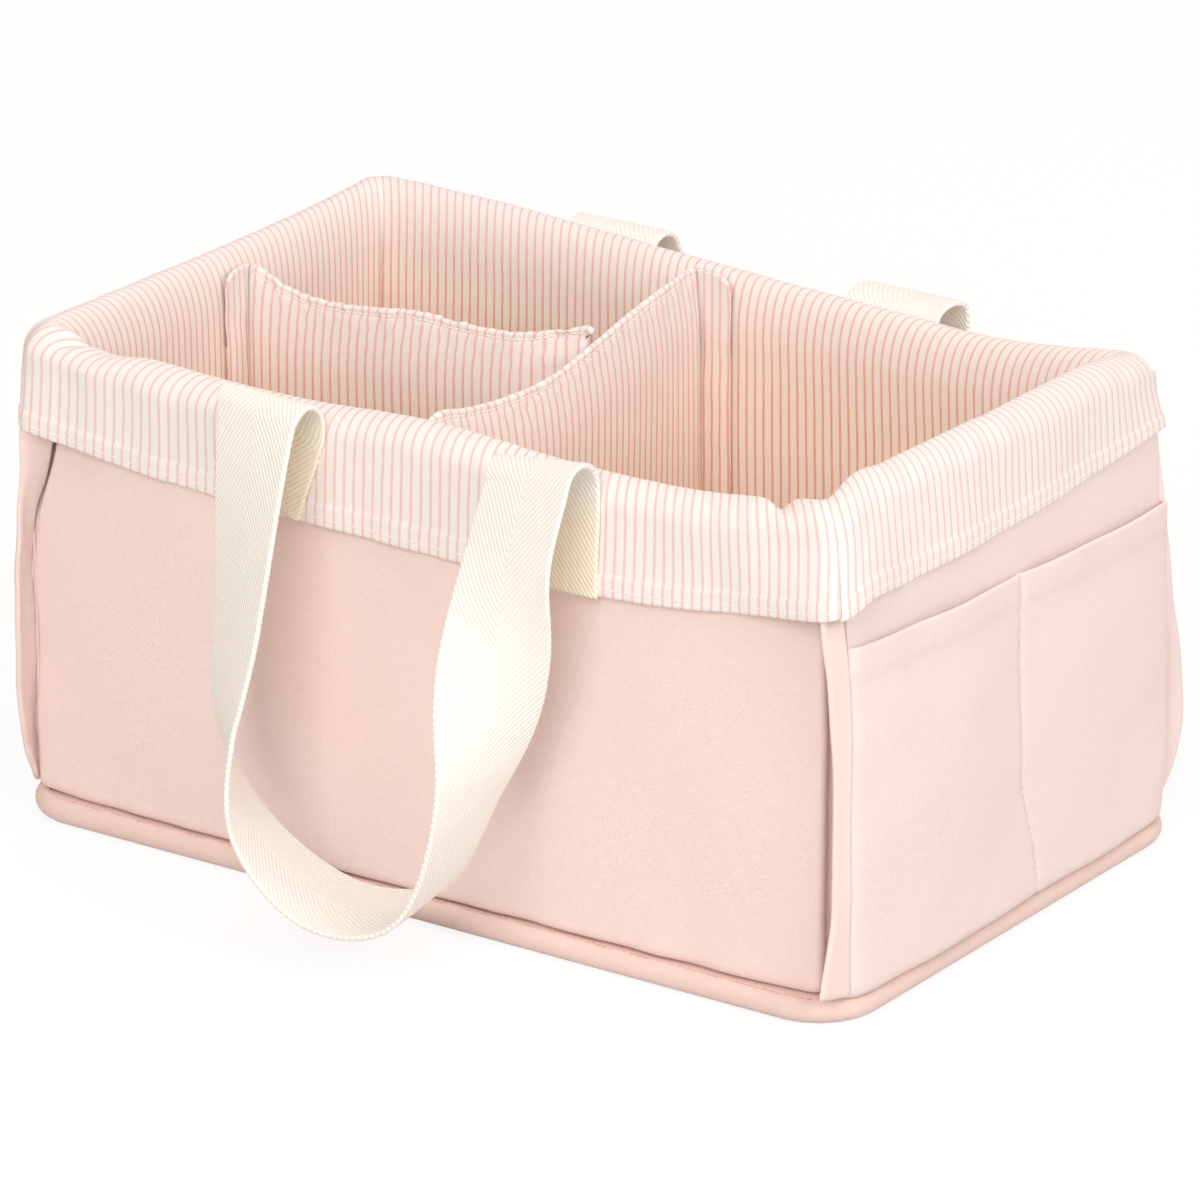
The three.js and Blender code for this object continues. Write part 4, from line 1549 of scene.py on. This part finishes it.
    def shape(self) -> Shape:
        """The webbing: its section carried along the path, with rounded selvedges and a slight cup."""
        line, across = self.path()
        normal = np.cross(across, unit(np.gradient(line, axis=0)))
        rim = 0.06 * edge_dense(7, 0.2)
        u = np.concatenate([rim[:-1] - 1, np.linspace(-0.94, 0.94, 21)[:-1], 0.94 + rim])
        half = self.width / 2
        done = lengths(line)
        to_go = done[-1] - done
        middle = line[:, None] + across[:, None] * (u * half)[None, :, None]
        left, left_more, right, right_more = self.raised
        middle[..., 2] += bump_at(done, self.tail[0] + 13.0, 26.0)[:, None] * (left + left_more * u)
        middle[..., 2] += bump_at(to_go, self.tail[1] + 13.0, 26.0)[:, None] * (right + right_more * u)
        cup = self.cup * u**2 * (smoothstep(done, 60, 140) * smoothstep(to_go, 60, 140))[:, None]
        middle = middle - normal[:, None] * cup[..., None]
        edge = thinned((1 - np.abs(u)) * half, 0.9, 0.35)
        shift = normal[:, None] * (edge * self.thickness / 2)[None, :, None]
        cloth = np.stack(np.meshgrid(u * half, done - done[-1] / 2), -1)
        return between(self.turned(middle + shift), self.turned(middle - shift), cloth)

    def turned(self, p: Grid) -> Grid:
        """The points on this handle's own side of the caddy, the sewn ends with the walls' lean.

        Args:
            p: points of a handle at the front. For the back one they turn half round.

        Returns:
            The points in their place.
        """
        if self.wall is BACK:
            p = p * np.array([-1.0, -1.0, 1.0])
            p[..., 0] += self.shift[0] + self.shift[1] * np.clip(p[..., 0] / self.reach, -1, 1)
        share = smoothstep(np.abs(p[..., 1]), self.axis_out + 6.0, self.axis_out - 9.5)
        return p + (LEAN.moved(p) - p) * share[..., None]

    def build(self, looks: Looks) -> None:
        """Makes the strap.

        Args:
            looks: the materials, by name.
        """
        side, out = self.wall.name, float(self.wall.out[1])
        nodes = (f"{side}_handle_left_end", f"{side}_handle_right_end", f"{side}_handle_loop")
        strap = piece(f"{side}_strap", self.shape(), looks["webbing"], None, nodes)
        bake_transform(strap)


# ---------------------------------------------------------------- studio


@dataclass(frozen=True)
class Studio:
    """The floor, the lamps and the camera, in metres."""

    lens: float = 270.0
    camera: tuple[float, float, float] = (1.7150, -2.4808, 1.2321)
    azimuth: float = 34.63
    elevation: float = 20.82
    roll: float = -0.02
    lamps: tuple[tuple, ...] = (
        ("key", (0.8, -2.8, 2.0), 1.9, 52.5),
        ("side", (2.9, -0.3, 1.9), 1.8, 42.5),
        ("back", (-1.4, 3.0, 1.3), 2.2, 26.0),
        ("top", (0.4, -0.6, 2.9), 2.4, 14.0),
    )  # name, place, size and power
    sky: tuple[float, ...] = (1.0, 0.84, 0.71, 1.0)  # the world's warm light
    sky_strength: float = 0.49
    floor_half: float = 8.0
    floor_grey: float = 0.7
    floor_glow: float = 1.14  # of the white floor, as the camera sees it
    floor_share: float = 0.72  # of that glow in what the camera sees

    def build(self) -> None:
        """Sets up the camera, the world, the floor and the lamps."""
        self._camera()
        self._world()
        self._floor()
        for name, place, size, power in self.lamps:
            self._lamp(name, place, size, power)

    def _camera(self) -> None:
        """The photograph's camera: its axes follow from azimuth, elevation and roll."""
        a, e = math.radians(self.azimuth), math.radians(self.elevation)
        back = Vector((math.sin(a) * math.cos(e), -math.cos(a) * math.cos(e), math.sin(e)))
        right = Vector((math.cos(a), math.sin(a), 0))
        frame = Matrix((right, back.cross(right), back)).transposed().to_4x4()
        data = bpy.data.cameras.new("camera")
        data.lens, data.sensor_width = self.lens, 36.0
        data.clip_start, data.clip_end = 0.1, 50.0
        cam = bpy.data.objects.new("camera", data)
        rolled = Matrix.Rotation(math.radians(self.roll), 4, "Z")
        cam.matrix_world = Matrix.Translation(self.camera) @ frame @ rolled
        bpy.context.scene.collection.objects.link(cam)
        bpy.context.scene.camera = cam

    def _world(self) -> None:
        """A world that lights warmly, and is plain white where the camera looks at it."""
        world = bpy.data.worlds.new("studio")
        world.use_nodes = True
        graph = Graph(world.node_tree)
        graph.tree.nodes.clear()
        soft = graph.node("ShaderNodeBackground", {}, {"Color": self.sky, "Strength": self.sky_strength})
        seen = graph.node("ShaderNodeBackground", {}, {"Strength": 1.0})
        graph.fill(graph.tree.nodes.new("ShaderNodeOutputWorld"), {0: graph.for_camera(soft, seen, 1.0)})
        bpy.context.scene.world = world

    def _floor(self) -> None:
        """A large floor that takes the shadows and looks white to the camera."""
        mesh, s = bpy.data.meshes.new("floor"), self.floor_half
        mesh.from_pydata([(-s, -s, 0), (s, -s, 0), (s, s, 0), (-s, s, 0)], [], [(0, 1, 2, 3)])
        floor = bpy.data.objects.new("floor", mesh)
        bpy.context.scene.collection.objects.link(floor)
        material = bpy.data.materials.new("floor")
        material.use_nodes = True
        graph, nodes = Graph(material.node_tree), material.node_tree.nodes
        shader, grey = nodes["Principled BSDF"], (*[self.floor_grey] * 3, 1)
        graph.fill(shader, {"Base Color": grey, "Roughness": 1.0, "Specular IOR Level": 0.0})
        glow = graph.node("ShaderNodeEmission", {}, {"Color": (1, 1, 1, 1), "Strength": self.floor_glow})
        mixed = graph.for_camera(Socket(graph, shader.outputs[0]), glow, self.floor_share)
        graph.fill(nodes["Material Output"], {0: mixed})
        mesh.materials.append(material)

    def _lamp(self, name: str, place: tuple[float, float, float], size: float, power: float) -> None:
        """A square soft lamp that looks at the caddy.

        Args:
            name: its name.
            place: its place.
            size: its side.
            power: in watts.
        """
        data = bpy.data.lights.new(name, "AREA")
        data.shape, data.size, data.energy, data.color = "SQUARE", size, power, (0.99, 1.0, 1.0)
        lamp = bpy.data.objects.new(name, data)
        lamp.location = place
        lamp.rotation_euler = (Vector((0, 0, 0.08)) - Vector(place)).to_track_quat("-Z", "Y").to_euler()
        bpy.context.scene.collection.objects.link(lamp)


def main() -> None:
    """Builds the caddy piece by piece, in the studio."""
    logging.basicConfig(level=logging.INFO, format="%(name)s: %(message)s")
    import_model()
    bpy.context.scene.view_settings.view_transform = "Standard"
    Studio().build()
    looks, lining = Finishes().made(), Lining()
    Base().build(looks)
    PaddedWalls().build(looks)
    lining.build(looks)
    for fin in FINS:
        fin.build(looks, lining)
    for pocket in POCKETS:
        pocket.build(looks)
    lining.build_floor(looks)
    Dividers().build(looks)
    Handle(FRONT, 118.02, 171.99, "front_handle").build(looks)
    back = {"cone": 0.0, "tail_slant": (0.0, 0.0), "tail": (42.0, 42.0), "raised": (-6.0, 0.0, -4.0, 0.0)}
    Handle(BACK, 117.96, 177.97, "back_handle", **back).build(looks)


if __name__ == "__main__":
    main()
